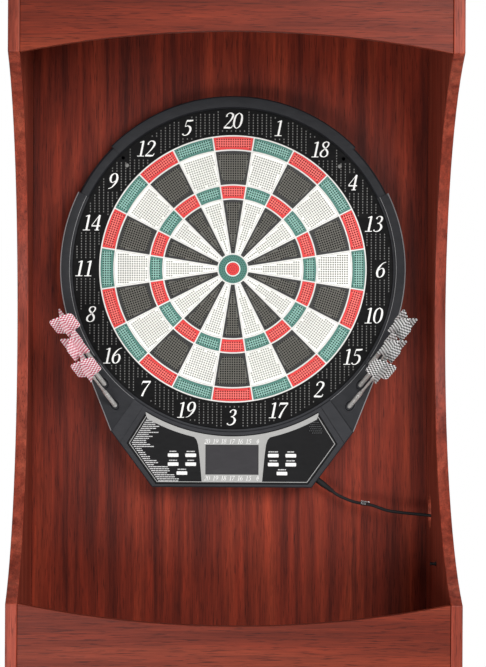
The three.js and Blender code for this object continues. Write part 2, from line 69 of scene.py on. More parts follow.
class Solid:
    """Collects the points and faces of one piece, in millimetres."""

    def __init__(self):
        self.points = []
        self.faces = []
        self.marks = []

    def add(self, points, faces, mark=0):
        """mark is the finish of every face, or a list of one for each."""
        start = len(self.points)
        self.points.extend(points)
        self.faces.extend([tuple(start + i for i in face) for face in faces])
        self.marks.extend(mark if isinstance(mark, list) else [mark] * len(faces))
        return self

    def make(self, name, body, slot, materials, sharp=35, uv=None):
        mesh = bpy.data.meshes.new(name)
        mesh.from_pydata([[v * MM for v in point] for point in self.points], [], self.faces)
        mesh.polygons.foreach_set("material_index", self.marks)
        if uv:
            layer = mesh.uv_layers.new(name="UVMap")
            for loop in mesh.loops:
                layer.data[loop.index].uv = uv[loop.vertex_index]
        for material in materials if isinstance(materials, (list, tuple)) else [materials]:
            mesh.materials.append(material)
        return finish_piece(mesh, name, body, sharp)


def put_in_scene(name, data):
    thing = bpy.data.objects.new(name, data)
    bpy.context.scene.collection.objects.link(thing)
    return thing


def finish_piece(mesh, name, body, sharp):
    mesh.update()
    mesh.validate()
    mesh.shade_smooth()
    mesh.set_sharp_from_angle(angle=math.radians(sharp))
    piece = put_in_scene(name, mesh)
    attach(piece, body)
    return piece


def loft(rings, joined=False):
    """Quads between rings of the same number of points. joined leads on from the last ring to the first."""
    count = len(rings[0])
    points = [point for ring in rings for point in ring]
    faces = []
    for k in range(len(rings) if joined else len(rings) - 1):
        a, b = k * count, (k + 1) % len(rings) * count
        for i in range(count):
            j = (i + 1) % count
            faces.append((a + i, a + j, b + j, b + i))
    return points, faces


def capped_loft(rings):
    """A loft whose first and last rings are filled."""
    points, faces = loft(rings)
    count = len(rings[0])
    faces.append(tuple(reversed(range(count))))
    faces.append(tuple(range(len(points) - count, len(points))))
    return points, faces


def lathe(profile, sides, frame_of):
    """A closed turned shape. profile holds (radius, along), and frame_of turns (x, y, along) into a place."""
    rings = [[frame_of(x, y, along) for x, y in circle(radius, sides)] for radius, along in profile]
    return capped_loft(rings)


def shifted(shape, distance):
    """A turned profile of (radius, along), moved along its axis."""
    return [(radius, distance + along) for radius, along in shape]


def repeated(count, start, pitch, shape):
    return [point for k in range(count) for point in shifted(shape, start + k * pitch)]


def along_axis(start, direction, roll=0.0):
    """Gives the place of a point from its two distances across an axis and its distance along it."""
    axis = Vector(direction).normalized()
    across = axis.cross(Vector((0, 1, 0)))
    if across.length < 1e-6:
        across = Vector((1, 0, 0))
    across.normalize()
    third = across.cross(axis)
    first = across * math.cos(roll) - third * math.sin(roll)
    second = across * math.sin(roll) + third * math.cos(roll)
    origin = Vector(start)

    def frame_of(x, y, along):
        return tuple(origin + first * x + second * y + axis * along)

    return frame_of


def arc(radius, start, end, steps, x=0.0, z=0.0):
    """Points on a circle from one angle to another, in degrees."""
    turns = [math.radians(start + (end - start) * i / steps) for i in range(steps + 1)]
    return [(x + radius * math.cos(t), z + radius * math.sin(t)) for t in turns]


def circle(radius, steps, x=0.0, z=0.0):
    return arc(radius, 0, 360, steps, x, z)[:-1]


def signed_area(loop):
    return sum(a[0] * b[1] - b[0] * a[1] for a, b in zip(loop, loop[1:] + loop[:1])) / 2


def anticlockwise(loop):
    return loop if signed_area(loop) > 0 else loop[::-1]


def triangulate(loops):
    """The triangles between an outline and its holes, each with whether it touches the outline."""
    flat = [point for loop in loops for point in loop]
    loop_of = [k for k, loop in enumerate(loops) for _ in loop]
    edges, start = [], 0
    for loop in loops:
        edges.extend((start + i, start + (i + 1) % len(loop)) for i in range(len(loop)))
        start += len(loop)
    places, _, faces, origins, _, _ = delaunay_2d_cdt([Vector(p) for p in flat], edges, [], 1, 1e-6)
    triangles = []
    for face in faces:
        a, b, c = [places[i] for i in face]
        touched = {loop_of[origins[i][0]] for i in face}
        if len(touched) == 1 and 0 not in touched and inside((a + b + c) / 3, loops[min(touched)]):
            continue
        if (b - a).cross(c - a) < 0:
            face = face[::-1]
        triangles.append(([origins[i][0] for i in face], 0 in touched))
    return triangles


def plate(solid, outline, holes, near, far, place=board, mark=0, bevel=0.0, floors=None, lit_land=None, shaded_pit=None):
    """A plate with holes from one depth to a larger one. A bevel rounds its front edges with one step.
    floors closes every hole at that depth. Marks of their own may go on the face between the holes and on the
    holes' insides; the segments use them for a painted highlight and painted shade."""
    loops = [anticlockwise(list(outline))] + [anticlockwise(list(hole))[::-1] for hole in holes]
    front = [inset(loop, bevel) for loop in loops] if bevel else loops
    # Board X and Z seen from the front run anticlockwise, so these triangles face forward.
    found = triangulate(front)
    triangles = [triangle for triangle, _ in found]
    marks = [mark if lit_land is None or at_rim else lit_land for _, at_rim in found]
    solid.add([place(x, z, far) for loop in front for x, z in loop], triangles, marks)
    if floors is None:
        back = [place(x, z, near) for loop in loops for x, z in loop]
        solid.add(back, [triangle[::-1] for triangle in triangles], mark)
    for k, loop in enumerate(loops):
        low = near if k == 0 or floors is None else floors
        rings = [[place(x, z, low) for x, z in loop]]
        if bevel:
            rings.append([place(x, z, far - bevel) for x, z in loop])
        rings.append([place(x, z, far) for x, z in front[k]])
        wall = mark if k == 0 or shaded_pit is None else shaded_pit
        solid.add(*loft(rings), wall)
        if floors is not None:
            solid.add(rings[0], [tuple(reversed(range(len(loop))))], wall)
    return solid


def inside(point, loop):
    hit = False
    for (ax, az), (bx, bz) in zip(loop, loop[1:] + loop[:1]):
        if (az > point[1]) != (bz > point[1]):
            if point[0] < (bx - ax) * (point[1] - az) / (bz - az) + ax:
                hit = not hit
    return hit


def inset(loop, amount):
    """Moves each side of a loop to its left: an anticlockwise loop shrinks, and a clockwise one grows."""
    result = []
    for before, here, after in zip(loop[-1:] + loop[:-1], loop, loop[1:] + loop[:1]):
        first = Vector(here) - Vector(before)
        second = Vector(after) - Vector(here)
        if first.length < 1e-9 or second.length < 1e-9:
            result.append(here)
            continue
        n1 = Vector((-first.y, first.x)).normalized()
        n2 = Vector((-second.y, second.x)).normalized()
        move = (n1 + n2) * (amount / max(1 + n1.dot(n2), 0.3))
        result.append((here[0] + move.x, here[1] + move.y))
    return result


# ---------------------------------------------------------------- materials


def colour(red, green, blue):
    """A display colour from 0 to 255 as a linear one."""
    linear = [v / 255 / 12.92 if v <= 10 else ((v / 255 + 0.055) / 1.055) ** 2.4 for v in (red, green, blue)]
    return (*linear, 1)


def set_sockets(node, values):
    for socket, value in values.items():
        node.inputs[socket].default_value = value


class Nodes:
    """A material's node tree, with short calls for the nodes that the finishes share."""

    def __init__(self, name, roughness=0.5, metallic=0.0, specular=0.5, coat=0.0):
        self.material = bpy.data.materials.new(name)
        self.material.use_nodes = True
        self.tree = self.material.node_tree
        self.shader = self.tree.nodes["Principled BSDF"]
        gloss = {"Specular IOR Level": specular, "Coat Weight": coat, "Coat Roughness": 0.25}
        set_sockets(self.shader, {"Roughness": roughness, "Metallic": metallic, **gloss})
        self.place = self.new("ShaderNodeTexCoord").outputs["Object"]

    def new(self, kind, **values):
        node = self.tree.nodes.new(kind)
        for key, value in values.items():
            setattr(node, key, value)
        return node

    def link(self, source, target):
        self.tree.links.new(source, target)

    def stretched(self, scale, turn=(0, 0, 0)):
        mapping = self.new("ShaderNodeMapping")
        set_sockets(mapping, {"Scale": scale, "Rotation": turn})
        self.link(self.place, mapping.inputs["Vector"])
        return mapping.outputs["Vector"]

    def noise(self, scale, detail=3.0, roughness=0.55, distortion=0.0, vector=None):
        node = self.new("ShaderNodeTexNoise")
        values = {"Scale": scale, "Detail": detail, "Roughness": roughness, "Distortion": distortion}
        set_sockets(node, values)
        self.link(vector or self.place, node.inputs["Vector"])
        return node.outputs["Fac"]

    def ramp(self, value, stops):
        node = self.new("ShaderNodeValToRGB")
        elements = node.color_ramp.elements
        while len(elements) < len(stops):
            elements.new(0.5)
        for element, (position, tint) in zip(elements, stops):
            element.position = position
            element.color = tint if len(tint) == 4 else (*tint, 1)
        self.link(value, node.inputs["Fac"])
        return node.outputs["Color"]

    def mix(self, kind, factor, first, second):
        node = self.new("ShaderNodeMix", data_type="RGBA", blend_type=kind)
        for socket, value in zip((node.inputs[0], node.inputs[6], node.inputs[7]), (factor, first, second)):
            if isinstance(value, (int, float, tuple)):
                socket.default_value = value
            else:
                self.link(value, socket)
        return node.outputs[2]

    def multiplied(self, factor, tint, value, stops):
        """A tint multiplied by a ramp over a value."""
        return self.mix("MULTIPLY", factor, tint, self.ramp(value, stops))

    def span(self, value, low, high, from_low=0.3, from_high=0.7):
        node = self.new("ShaderNodeMapRange")
        set_sockets(node, {"From Min": from_low, "From Max": from_high, "To Min": low, "To Max": high})
        self.link(value, node.inputs["Value"])
        return node.outputs["Result"]

    def base(self, value):
        self.link(value, self.shader.inputs["Base Color"])

    def rough(self, value):
        self.link(value, self.shader.inputs["Roughness"])

    def bump(self, value, distance, strength=1.0):
        node = self.new("ShaderNodeBump")
        set_sockets(node, {"Strength": strength, "Distance": distance * MM})
        self.link(value, node.inputs["Height"])
        self.link(node.outputs["Normal"], self.shader.inputs["Normal"])


def wood(name, dark, middle, light, grain, roughness=0.42, figure=0.85):
    """Printed mahogany laminate: long streaks, fine fibres and short dark pores along axis 0, 1 or 2."""
    n = Nodes(name, specular=0.16, coat=0.02)

    def along(across, lengthwise):
        scale = [across] * 3
        scale[grain] = lengthwise
        return n.stretched(scale)

    bands = n.noise(1.0, 4, 0.6, 0.6, along(24, 1.6))
    streaks = n.noise(1.0, 5, 0.65, 0.3, along(95, 4.5))
    fibres = n.noise(1.0, 4, 0.7, 0.0, along(520, 12))
    pores = n.noise(1.0, 2, 0.5, 0.0, along(900, 38))
    tint = n.ramp(bands, [(0.28, colour(*dark)), (0.5, colour(*middle)), (0.74, colour(*light))])
    streak_tints = [(0.3, (0.42, 0.36, 0.34)), (0.5, (0.95, 0.95, 0.95)), (0.7, (1.5, 1.42, 1.35))]
    tint = n.multiplied(figure, tint, streaks, streak_tints)
    tint = n.multiplied(0.6, tint, fibres, [(0.35, (0.66, 0.62, 0.6)), (0.62, (1.12, 1.12, 1.12))])
    n.base(n.multiplied(0.75, tint, pores, [(0.34, (0.3, 0.24, 0.22)), (0.42, (1, 1, 1))]))
    n.rough(n.span(fibres, roughness + 0.08, roughness - 0.06))
    n.bump(fibres, 0.12, 0.5)
    return n.material


MOTTLE = [(0.3, (0.8, 0.8, 0.8)), (0.7, (1.1, 1.1, 1.1))]
CAST_GRAIN = [(0.2, (0.8, 0.8, 0.8)), (0.7, (1.1, 1.1, 1.1))]


def plastic(name, tint, spread=0.12, roughness=0.5, grain=900, height=0.05, specular=0.5, coat=0.0):
    """Moulded plastic: a fine cast grain, faint clouding and scuffs that change its gloss."""
    n = Nodes(name, roughness, specular=specular, coat=coat)
    clouds = n.noise(18, 4)
    tint = colour(*tint)[:3]
    low = tuple(v * (1 - spread) for v in tint)
    high = tuple(min(v * (1 + spread), 1) for v in tint)
    cast = n.noise(grain, 2)
    scuffs = n.noise(1.0, 3, 0.6, 0.4, n.stretched((60, 60, 240), (0.4, 0.3, 0.6)))
    n.base(n.multiplied(0.35, n.ramp(clouds, [(0.3, low), (0.7, high)]), cast, CAST_GRAIN))
    n.rough(n.span(scuffs, roughness - 0.07, roughness + 0.09))
    n.bump(cast, height)
    return n.material


def metal(name, tint, roughness=0.3, brushed=(40, 40, 900), metallic=1.0):
    """Metal with fine brushed lines and faint stains."""
    n = Nodes(name, roughness, metallic)
    lines = n.noise(1.0, 3, 0.6, 0.0, n.stretched(brushed))
    stains = [(0.3, (0.72, 0.7, 0.68)), (0.65, (1.05, 1.05, 1.05))]
    n.base(n.multiplied(0.5, colour(*tint), n.noise(160, 4), stains))
    n.rough(n.span(lines, roughness - 0.08, roughness + 0.15))
    n.bump(lines, 0.02, 0.6)
    return n.material


def raw_board(name):
    """The pale sawn edge of particle board."""
    n = Nodes(name, 0.9, specular=0.2)
    chips = n.new("ShaderNodeTexVoronoi")
    chips.inputs["Scale"].default_value = 480
    n.link(n.stretched((1, 1, 1.6)), chips.inputs["Vector"])
    chip_tints = [(0.1, colour(214, 204, 188)), (0.6, colour(172, 156, 134))]
    chip_tint = n.ramp(chips.outputs["Distance"], chip_tints)
    n.base(n.multiplied(0.6, chip_tint, n.noise(900), [(0.3, (0.7, 0.66, 0.6)), (0.6, (1.05, 1.05, 1.05))]))
    n.bump(chips.outputs["Distance"], 0.3)
    return n.material


def circuit(name):
    """Green solder mask with a faint pattern of tracks under it."""
    n = Nodes(name, 0.35, coat=0.4)
    tracks = n.new("ShaderNodeTexBrick", offset=0.37)
    tints = {"Color1": colour(24, 84, 50), "Color2": colour(20, 72, 44), "Mortar": colour(46, 120, 74)}
    set_sockets(tracks, {"Scale": 90, "Mortar Size": 0.02, **tints})
    n.link(n.stretched((1, 1, 1), (math.pi / 2, 0, 0)), tracks.inputs["Vector"])
    n.base(n.multiplied(0.5, tracks.outputs["Color"], n.noise(40), MOTTLE))
    n.bump(tracks.outputs["Fac"], 0.05)
    return n.material


def checks(name, dark, light):
    """A printed flight: small checks on the vane and a fine weave in its gloss."""
    n = Nodes(name, 0.38, coat=0.3)
    squares = n.new("ShaderNodeTexChecker")
    set_sockets(squares, {"Scale": 1.0, "Color1": colour(*dark), "Color2": colour(*light)})
    n.link(n.new("ShaderNodeTexCoord").outputs["UV"], squares.inputs["Vector"])
    n.base(n.multiplied(0.25, squares.outputs["Color"], n.noise(500), MOTTLE))
    n.bump(n.noise(1500, 2), 0.03)
    return n.material


WOOD_X = wood("mahogany_across", (90, 28, 13), (112, 40, 22), (128, 52, 31), 0, figure=0.45)
WOOD_Z = wood("mahogany_upright", (112, 42, 28), (140, 60, 44), (160, 78, 58), 2)
WOOD_EDGE = wood("mahogany_edging", (122, 50, 36), (146, 70, 54), (168, 90, 74), 2)
WOOD_BACK = wood("mahogany_back", (78, 21, 9), (122, 41, 23), (160, 63, 38), 2, 0.5)
# Pale arris colour: partly the edging's pale seam, partly a painted highlight along every eased edge.
ARRIS = plastic("arris_seam_and_highlight", (246, 212, 200), 0.2, 0.4)
RAW = raw_board("sawn_particle_board")
SHELL = plastic("charcoal_shell", (32, 33, 37), 0.15, 0.55, 700, 0.08, 0.22)
FRAME_GREY = plastic("grey_frame", (44, 45, 49), 0.12, 0.55, 700, 0.06, 0.22)
# A paler grey for the bezel's rim chamfers: a painted highlight.
SHELL_EDGE_HIGHLIGHT = plastic("shell_edge_painted_highlight", (150, 151, 153), 0.1, 0.4)
BLACK = plastic("black_plastic", (22, 22, 24), 0.2, 0.5, specular=0.35)
CATCH = plastic("catch_black", (6, 6, 7), 0.2, 0.6, specular=0.12)
STUD_HIGHLIGHT = plastic("stud_painted_highlight", (118, 118, 116), 0.25, 0.4)
# Grey for the catch ring's studs, a painted highlight on black plastic; the screw heads take it too.
CONSOLE = plastic("console_black", (12, 12, 14), 0.2, 0.5, specular=0.15)
WHITE = plastic("wire_white", (243, 243, 240), 0.03, 0.4)
PRINT_WHITE = plastic("print_white", (240, 240, 238), 0.04, 0.5)
PRINT_DIM = plastic("print_dim", (205, 205, 205), 0.1, 0.5)
SILVER = plastic("print_silver", (166, 166, 164), 0.05, 0.38, 1500, 0.02, 0.5)
BUTTON = plastic("button_white", (250, 250, 248), 0.02, 0.35, 900, 0.02, coat=0.2)


def segment_finishes(name, rim, lit_land, shaded_pit):
    """A segment's solid rim, the face between its holes painted paler as a painted highlight, and painted
    shade in its holes.
    """
    return [
        plastic(f"segment_{name}", rim, 0.05, 0.45),
        plastic(f"segment_{name}_land", lit_land, 0.06, 0.5),
        plastic(f"segment_{name}_hole", shaded_pit, 0.05, 0.8, specular=0.1),
    ]


# Each segment: its rim colour, a paler colour between the holes as a painted highlight, and a darker hole
# colour as painted shade.
SEGMENT = {
    "white": segment_finishes("white", (244, 244, 239), (244, 244, 238), (168, 168, 161)),
    "black": segment_finishes("black", (14, 13, 12), (88, 86, 79), (3, 3, 3)),
    "red": segment_finishes("red", (222, 38, 38), (244, 106, 100), (150, 14, 18)),
    "green": segment_finishes("green", (62, 122, 110), (134, 184, 172), (22, 66, 58)),
}
GLASS = plastic("display_tint", (43, 41, 45), 0.12, 0.12, 60, 0.0, 0.5, 0.5)
CIRCUIT = circuit("circuit_green")
RUBBER = plastic("black_rubber", (26, 26, 27), 0.15, 0.7, 500, 0.1, 0.3)
STEEL = metal("zinc_steel", (176, 178, 180), 0.34)
# The dart steel is only half metallic: its pale base gives painted brightness in place of the studio's
# reflection.
CHROME = metal("dart_steel", (224, 224, 222), 0.3, (300, 300, 300), metallic=0.55)
FLIGHT = {
    "left": checks("flight_pink", (204, 62, 100), (255, 252, 253)),
    "right": checks("flight_black", (6, 6, 8), (255, 255, 255)),
}


# ---------------------------------------------------------------- camera and power lead

CAMERA_PLACE = (-0.081, -3.935, 1.631)
CAMERA_LENS = 148.5
CAMERA_SENSOR = 36
CAMERA_REACH = 50
CAMERA_SHIFT = 0.101
CAMERA_ROLL = math.radians(0.28)

# The board's outline: a circle, and straight lines from it by way of the wing's corner to the chin's.
BOARD_RADIUS = 255.7
WING_CORNER = (180, -240)
CHIN_CORNER = (118, -323.2)
BEZEL_FACE = 50
HOUSING_FRONT = 32

CORD_RADIUS = 2.25
# The socket's place between the chin's corner (0) and the wing's (1).
JACK_ALONG = 0.137
JACK_DEPTH = 22
PLUG_LENGTH = 30
STRAIGHT_TAIL = 7
# The lead's route after the plug's tail: to the cable hole, down outside the cabinet and along the floor.
ROUTE = [
    (0.17, 0.157, 1.3878), (0.1826, 0.154, 1.383), (0.1904, 0.151, 1.3812), (0.199, 0.1475, 1.3799),
    (0.2104, 0.144, 1.3781), (0.2205, 0.141, 1.3748), (0.2334, 0.138, 1.3706), (0.2504, 0.135, 1.3682),
    (0.2723, 0.131, 1.3662), (0.288, 0.128, 1.365), (0.299, 0.1266, 1.3634), (0.308, 0.126, 1.3594),
    (0.3142, 0.126, 1.352), (0.3166, 0.126, 1.341), (0.3164, 0.126, 1.31), (0.3156, 0.126, 1.1),
    (0.3156, 0.126, 0.8), (0.3156, 0.126, 0.5), (0.3156, 0.126, 0.2), (0.3158, 0.126, 0.09),
    (0.318, 0.1245, 0.052), (0.324, 0.1205, 0.024), (0.335, 0.112, 0.0075), (0.351, 0.103, 0.0026),
    (0.374, 0.086, 0.0026), (0.391, 0.06, 0.0026), (0.4, 0.028, 0.0026), (0.402, -0.004, 0.0026),
    (0.397, -0.036, 0.0026), (0.388, -0.062, 0.0026), (0.378, -0.081, 0.0032), (0.3715, -0.097, 0.007),
    (0.3693, -0.109, 0.0108), (0.369, -0.117, 0.012), (0.369, -0.125, 0.012),
]
# The route point that the twist of wire is wound round.
TIE_AT = 3


def make_camera():
    camera = put_in_scene("camera", bpy.data.cameras.new("camera"))
    camera.data.lens = CAMERA_LENS
    camera.data.sensor_width = CAMERA_SENSOR
    camera.data.shift_x = CAMERA_SHIFT
    camera.data.clip_end = CAMERA_REACH
    level = Matrix.Rotation(math.pi / 2, 4, "X")
    camera.matrix_world = Matrix.Translation(CAMERA_PLACE) @ level @ Matrix.Rotation(CAMERA_ROLL, 4, "Z")
    bpy.context.scene.camera = camera


def smooth_route(points, steps=14):
    """A centripetal Catmull-Rom curve through the points."""
    knots = [Vector(p) for p in points]
    ends = [knots[0] * 2 - knots[1], *knots, knots[-1] * 2 - knots[-2]]
    result = []
    for p0, p1, p2, p3 in zip(ends, ends[1:], ends[2:], ends[3:]):
        d0, d1, d2 = (max((b - a).length, 1e-9) ** 0.5 for a, b in ((p0, p1), (p1, p2), (p2, p3)))
        t1 = ((p1 - p0) / d0 - (p2 - p0) / (d0 + d1) + (p2 - p1) / d1) * d1
        t2 = ((p2 - p1) / d1 - (p3 - p1) / (d1 + d2) + (p3 - p2) / d2) * d1
        for i in range(steps):
            t = i / steps
            a = 2 * t**3 - 3 * t**2 + 1
            b = t**3 - 2 * t**2 + t
            result.append(p1 * a + t1 * b + p2 * (1 - a) + t2 * (t**3 - t**2))
    result.append(knots[-1])
    return result


def jack_frame():
    """Where the lead's plug enters the lower right side of the board, and the way it points."""
    chin, wing = Vector(CHIN_CORNER), Vector(WING_CORNER)
    edge = chin.lerp(wing, JACK_ALONG)
    side = (wing - chin).normalized()
    return Vector(board(edge.x, edge.y, JACK_DEPTH)), Vector((side.y, 0, -side.x))


def make_lead():
    edge, normal = jack_frame()
    profile = [(2.75, -14), (2.75, -1.2), (4.3, -1.2), (4.5, -0.6), (4.5, 13.4)]
    ribs = 6
    for i in range(ribs):
        radius = 4.4 - 1.2 * i / ribs
        rib = [(radius, 0), (radius, 1.3), (radius - 0.7, 1.5), (radius - 0.75, 2.2)]
        profile += shifted(rib, 14.2 + i * 2.4)
    profile += [(2.9, PLUG_LENGTH - 1), (2.9, PLUG_LENGTH)]
    plug = Solid().add(*lathe(profile, 24, along_axis(edge, normal)))
    plug = plug.make("power_plug_moulded", "cabinet", "rubber", RUBBER)
    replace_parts(plug, "power_plug")

    start = (edge + normal * (PLUG_LENGTH + GAP)) * MM
    following = (edge + normal * (PLUG_LENGTH + STRAIGHT_TAIL)) * MM
    line = smooth_route([start, following, *ROUTE])
    curve = bpy.data.curves.new("power_lead", "CURVE")
    curve.dimensions = "3D"
    curve.bevel_depth = CORD_RADIUS * MM
    curve.bevel_resolution = 4
    curve.use_fill_caps = True
    spline = curve.splines.new("POLY")
    spline.points.add(len(line) - 1)
    for point, place in zip(spline.points, line):
        point.co = (*place, 1)
    curve.materials.append(RUBBER)
    lead = put_in_scene("power_lead", curve)
    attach(lead, "cabinet")
    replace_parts(lead, "power_cord")

    tie = make_tie(Vector(ROUTE[TIE_AT]) / MM, Vector(ROUTE[TIE_AT + 1]) - Vector(ROUTE[TIE_AT - 1]))
    adapter = make_adapter()


def make_tie(place, way):
    """A paper-and-wire twist: turns wound round the lead, with its two ends twisted together."""
    frame_of = along_axis(place, way)

    def helix(middle, radius, first, turn, start, pitch, count):
        angles = [first + i * turn for i in range(count)]
        across = [(middle[0] + radius * math.cos(a), middle[1] + radius * math.sin(a)) for a in angles]
        return [frame_of(x, y, start + i * pitch) for i, (x, y) in enumerate(across)]

    solid = Solid()
    tube(solid, helix((0, 0), 2.95, 0, math.pi / 6, -4, 1 / 6, 49), 0.6, 8)
    for side in (0, math.pi):
        tube(solid, helix((3.4, -1.5), 0.6, side, 0.9, -4, 1.1, 13), 0.5, 8)
    tie = solid.make("cord_twist", "cabinet", "metal", STEEL)
    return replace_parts(tie, "cord_tie")


def tube(solid, path, radius, sides):
    points = [Vector(p) for p in path]
    rings = []
    normal = (points[1] - points[0]).orthogonal().normalized()
    for i, point in enumerate(points):
        way = (points[min(i + 1, len(points) - 1)] - points[max(i - 1, 0)]).normalized()
        normal = (normal - way * normal.dot(way)).normalized()
        third = way.cross(normal)
        rings.append([tuple(point + normal * x + third * y) for x, y in circle(radius, sides)])
    solid.add(*capped_loft(rings))


# The corners of a rectangle, anticlockwise from the far one.
QUARTERS = ((1, 1), (-1, 1), (-1, -1), (1, -1))


def rounded_box(solid, low, high, radius, steps=4, mark=0):
    """A block whose upright edges and rims are rounded."""
    def ring(drawn_in, z):
        loop = []
        for k, (sx, sy) in enumerate(QUARTERS):
            x = (high[0] if sx > 0 else low[0]) - sx * radius
            y = (high[1] if sy > 0 else low[1]) - sy * radius
            loop += arc(radius - drawn_in, 90 * k, 90 * k + 90, steps, x, y)
        return [(x, y, z) for x, y in loop]

    soft = min(radius, (high[2] - low[2]) / 2) * 0.6
    bends = [(soft * (1 - math.cos(a)), soft * (1 - math.sin(a))) for a in
             (math.pi / 2 * k / steps for k in range(steps + 1))]
    rings = [ring(drawn_in, low[2] + rise) for rise, drawn_in in bends]
    rings += [ring(drawn_in, high[2] - rise) for drawn_in, rise in bends]
    solid.add(*capped_loft(rings), mark)


def make_adapter():
    """The wall adapter: a two-shell case with a seam, ribs on its top, two pins and a ribbed relief."""
    low, high = (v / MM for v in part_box("wall_adapter"))
    pin_length, relief_length, height, seam, core = 17, 20, 30, 16, 1.0
    case_low = (low.x, low.y, low.z)
    case_high = (high.x - pin_length, high.y - relief_length, height)
    middle_x = (case_low[0] + case_high[0]) / 2
    solid = Solid()
    rounded_box(solid, case_low, (case_high[0], case_high[1], seam - 0.4), 4)
    rounded_box(solid, (case_low[0], case_low[1], seam + 0.4), case_high, 4)
    rounded_box(solid, [v + core for v in case_low], [v - core for v in case_high], 4)
    for i in range(7):
        y = case_low[1] + 14 + i * 4
        rounded_box(solid, (case_low[0] + 6, y, height - 0.9), (case_high[0] - 6, y + 1.6, height), 0.7, 2)
    profile = []
    for i in range(6):
        radius = 3.1 + 1.4 * i / 6
        rib = [(radius, 0), (radius, 2), (radius - 0.6, 2.2), (radius - 0.6, 2.9)]
        profile += shifted(rib, i * 3)
    profile += [(4.5, 18.5), (4.5, relief_length + 2)]
    solid.add(*lathe(profile, 20, along_axis((middle_x, high.y, 12), (0, -1, 0))))
    for offset in (-6.5, 6.5):
        y = case_low[1] + 22 + offset
        pin = (case_high[0] - 1, y - 0.8, 15 - 3.2), (high.x, y + 0.8, 15 + 3.2)
        rounded_box(solid, *pin, 0.7, 2, mark=1)
    adapter = solid.make("wall_adapter_case", "cabinet", "black_plastic", [BLACK, STEEL])
    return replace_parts(adapter, "wall_adapter")


# ---------------------------------------------------------------- cabinet


# A panel's faces over this many square metres are shaded flat.
BROAD_FACE = 0.002
# A panel's finishes: its faces, its arrises (painted pale, partly the edging's seam and partly a painted
# highlight), the edging at the cabinet's front and sawn board.
FACE, ARRIS_SEAM_AND_HIGHLIGHT, EDGING, SAWN = range(4)


def eased_panel(node, material, edging=None, width=0.7, is_sawn=None):
    """A copy of a CAD panel whose arrises are eased. is_sawn tells by a face's middle if it is bare board."""
    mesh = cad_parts[node].data.copy()
    work = bmesh.new()
    work.from_mesh(mesh)
    bmesh.ops.remove_doubles(work, verts=work.verts, dist=0.00001)
    bmesh.ops.dissolve_limit(work, angle_limit=math.radians(0.5), verts=work.verts, edges=work.edges)
    corners = [e for e in work.edges if len(e.link_faces) == 2 and e.calc_face_angle(0) > math.radians(50)]
    # The eased faces take the pale arris colour, partly a seam and partly a painted highlight.
    bmesh.ops.bevel(
        work, geom=corners, offset=width * MM, segments=2, affect="EDGES", profile=0.5, clamp_overlap=True,
        material=ARRIS_SEAM_AND_HIGHLIGHT,
    )
    for face in work.faces:
        middle = face.calc_center_median()
        front = face.normal.y < -0.5 and middle.y < 0.5 * (FRONT + BACK_FACE) * MM
        if face.material_index != ARRIS_SEAM_AND_HIGHLIGHT:
            face.material_index = EDGING if edging and front else FACE
        if is_sawn and is_sawn(middle):
            face.material_index = SAWN
    work.to_mesh(mesh)
    work.free()
    mesh.materials.clear()
    for finish in (material, ARRIS, edging or material, RAW):
        mesh.materials.append(finish)
    piece = finish_piece(mesh, node + "_eased", "cabinet", 20)
    for polygon in piece.data.polygons:
        if polygon.area > BROAD_FACE:
            polygon.use_smooth = False
    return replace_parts(piece, node)


CABLE_HOLE = {"y": 126, "z": 1370, "radius": 25}


def in_cable_hole(place):
    away = math.hypot(place.y / MM - CABLE_HOLE["y"], place.z / MM - CABLE_HOLE["z"])
    return away < CABLE_HOLE["radius"] + 1.5 and INSIDE + 0.6 < place.x / MM < OUTSIDE - 0.6


def make_cabinet():
    eased_panel("side_panel_left", WOOD_Z, WOOD_EDGE, width=1.2)
    eased_panel("side_panel_right", WOOD_Z, WOOD_EDGE, width=1.2, is_sawn=in_cable_hole)
    for node in ("header_panel", "lower_front_panel"):
        eased_panel(node, WOOD_X)
    for node in ("top_panel", "recess_floor", "base_panel"):
        eased_panel(node, WOOD_X, width=0.5)
    make_feet()
    low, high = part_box("cord_peg")
    tip = Vector((low.x, (low.y + high.y) / 2, (low.z + high.z) / 2)) / MM
    profile = [(2.4, 0), (3, 0.5), (3, 1.6), (2.1, 2.4), (2.1, 6.6), (3, 7.2), (3, 8.7)]
    peg = Solid().add(*lathe(profile, 20, along_axis(tip, (1, 0, 0))))
    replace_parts(peg.make("cord_peg_turned", "cabinet", "black_plastic", BLACK), "cord_peg")


def make_feet():
    """A glide, a hex jam nut and a threaded stem for each levelling foot."""
    for i in range(1, 5):
        low, high = (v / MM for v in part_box(f"levelling_foot_{i}"))
        x, y, top = (low.x + high.x) / 2, (low.y + high.y) / 2, high.z
        place = along_axis((x, y, 0), (0, 0, 1))
        foot = Solid()
        glide = [(18, 0), (19.6, 0.8), (20, 2), (20, 4.4), (19.2, 5.6), (12, 7.2), (8, 8), (7, 9.5)]
        foot.add(*lathe(glide, 40, place))
        foot.add(*lathe([(9, 9.4), (9.4, 10), (9.4, 14.4), (9, 15)], 6, place), mark=1)
        thread = repeated(int((top - 15) / 0.75), 15, 0.75, [(4.9, 0), (4.3, 0.37)])
        foot.add(*lathe([(4.4, 8), *thread, (4.3, top)], 20, place), mark=1)
        piece = foot.make(f"levelling_glide_{i}", "cabinet", "black_plastic", [BLACK, STEEL])
        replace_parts(piece, f"levelling_foot_{i}")


# ---------------------------------------------------------------- dartboard

CATCH_RADIUS = 237
SECTORS = 20
WIRE = 2.1
# Radii of the wires' middle lines, named after the ring inside each.
RINGS = {"double": 197, "outer": 176, "triple": 124.3, "inner": 103.6, "bull": 22.2, "eye": 9.6}
SPIDER_FACE = 45.5
SEGMENT_FACE = 45
SEGMENT_BACK = 36
CATCH_FACE = 45
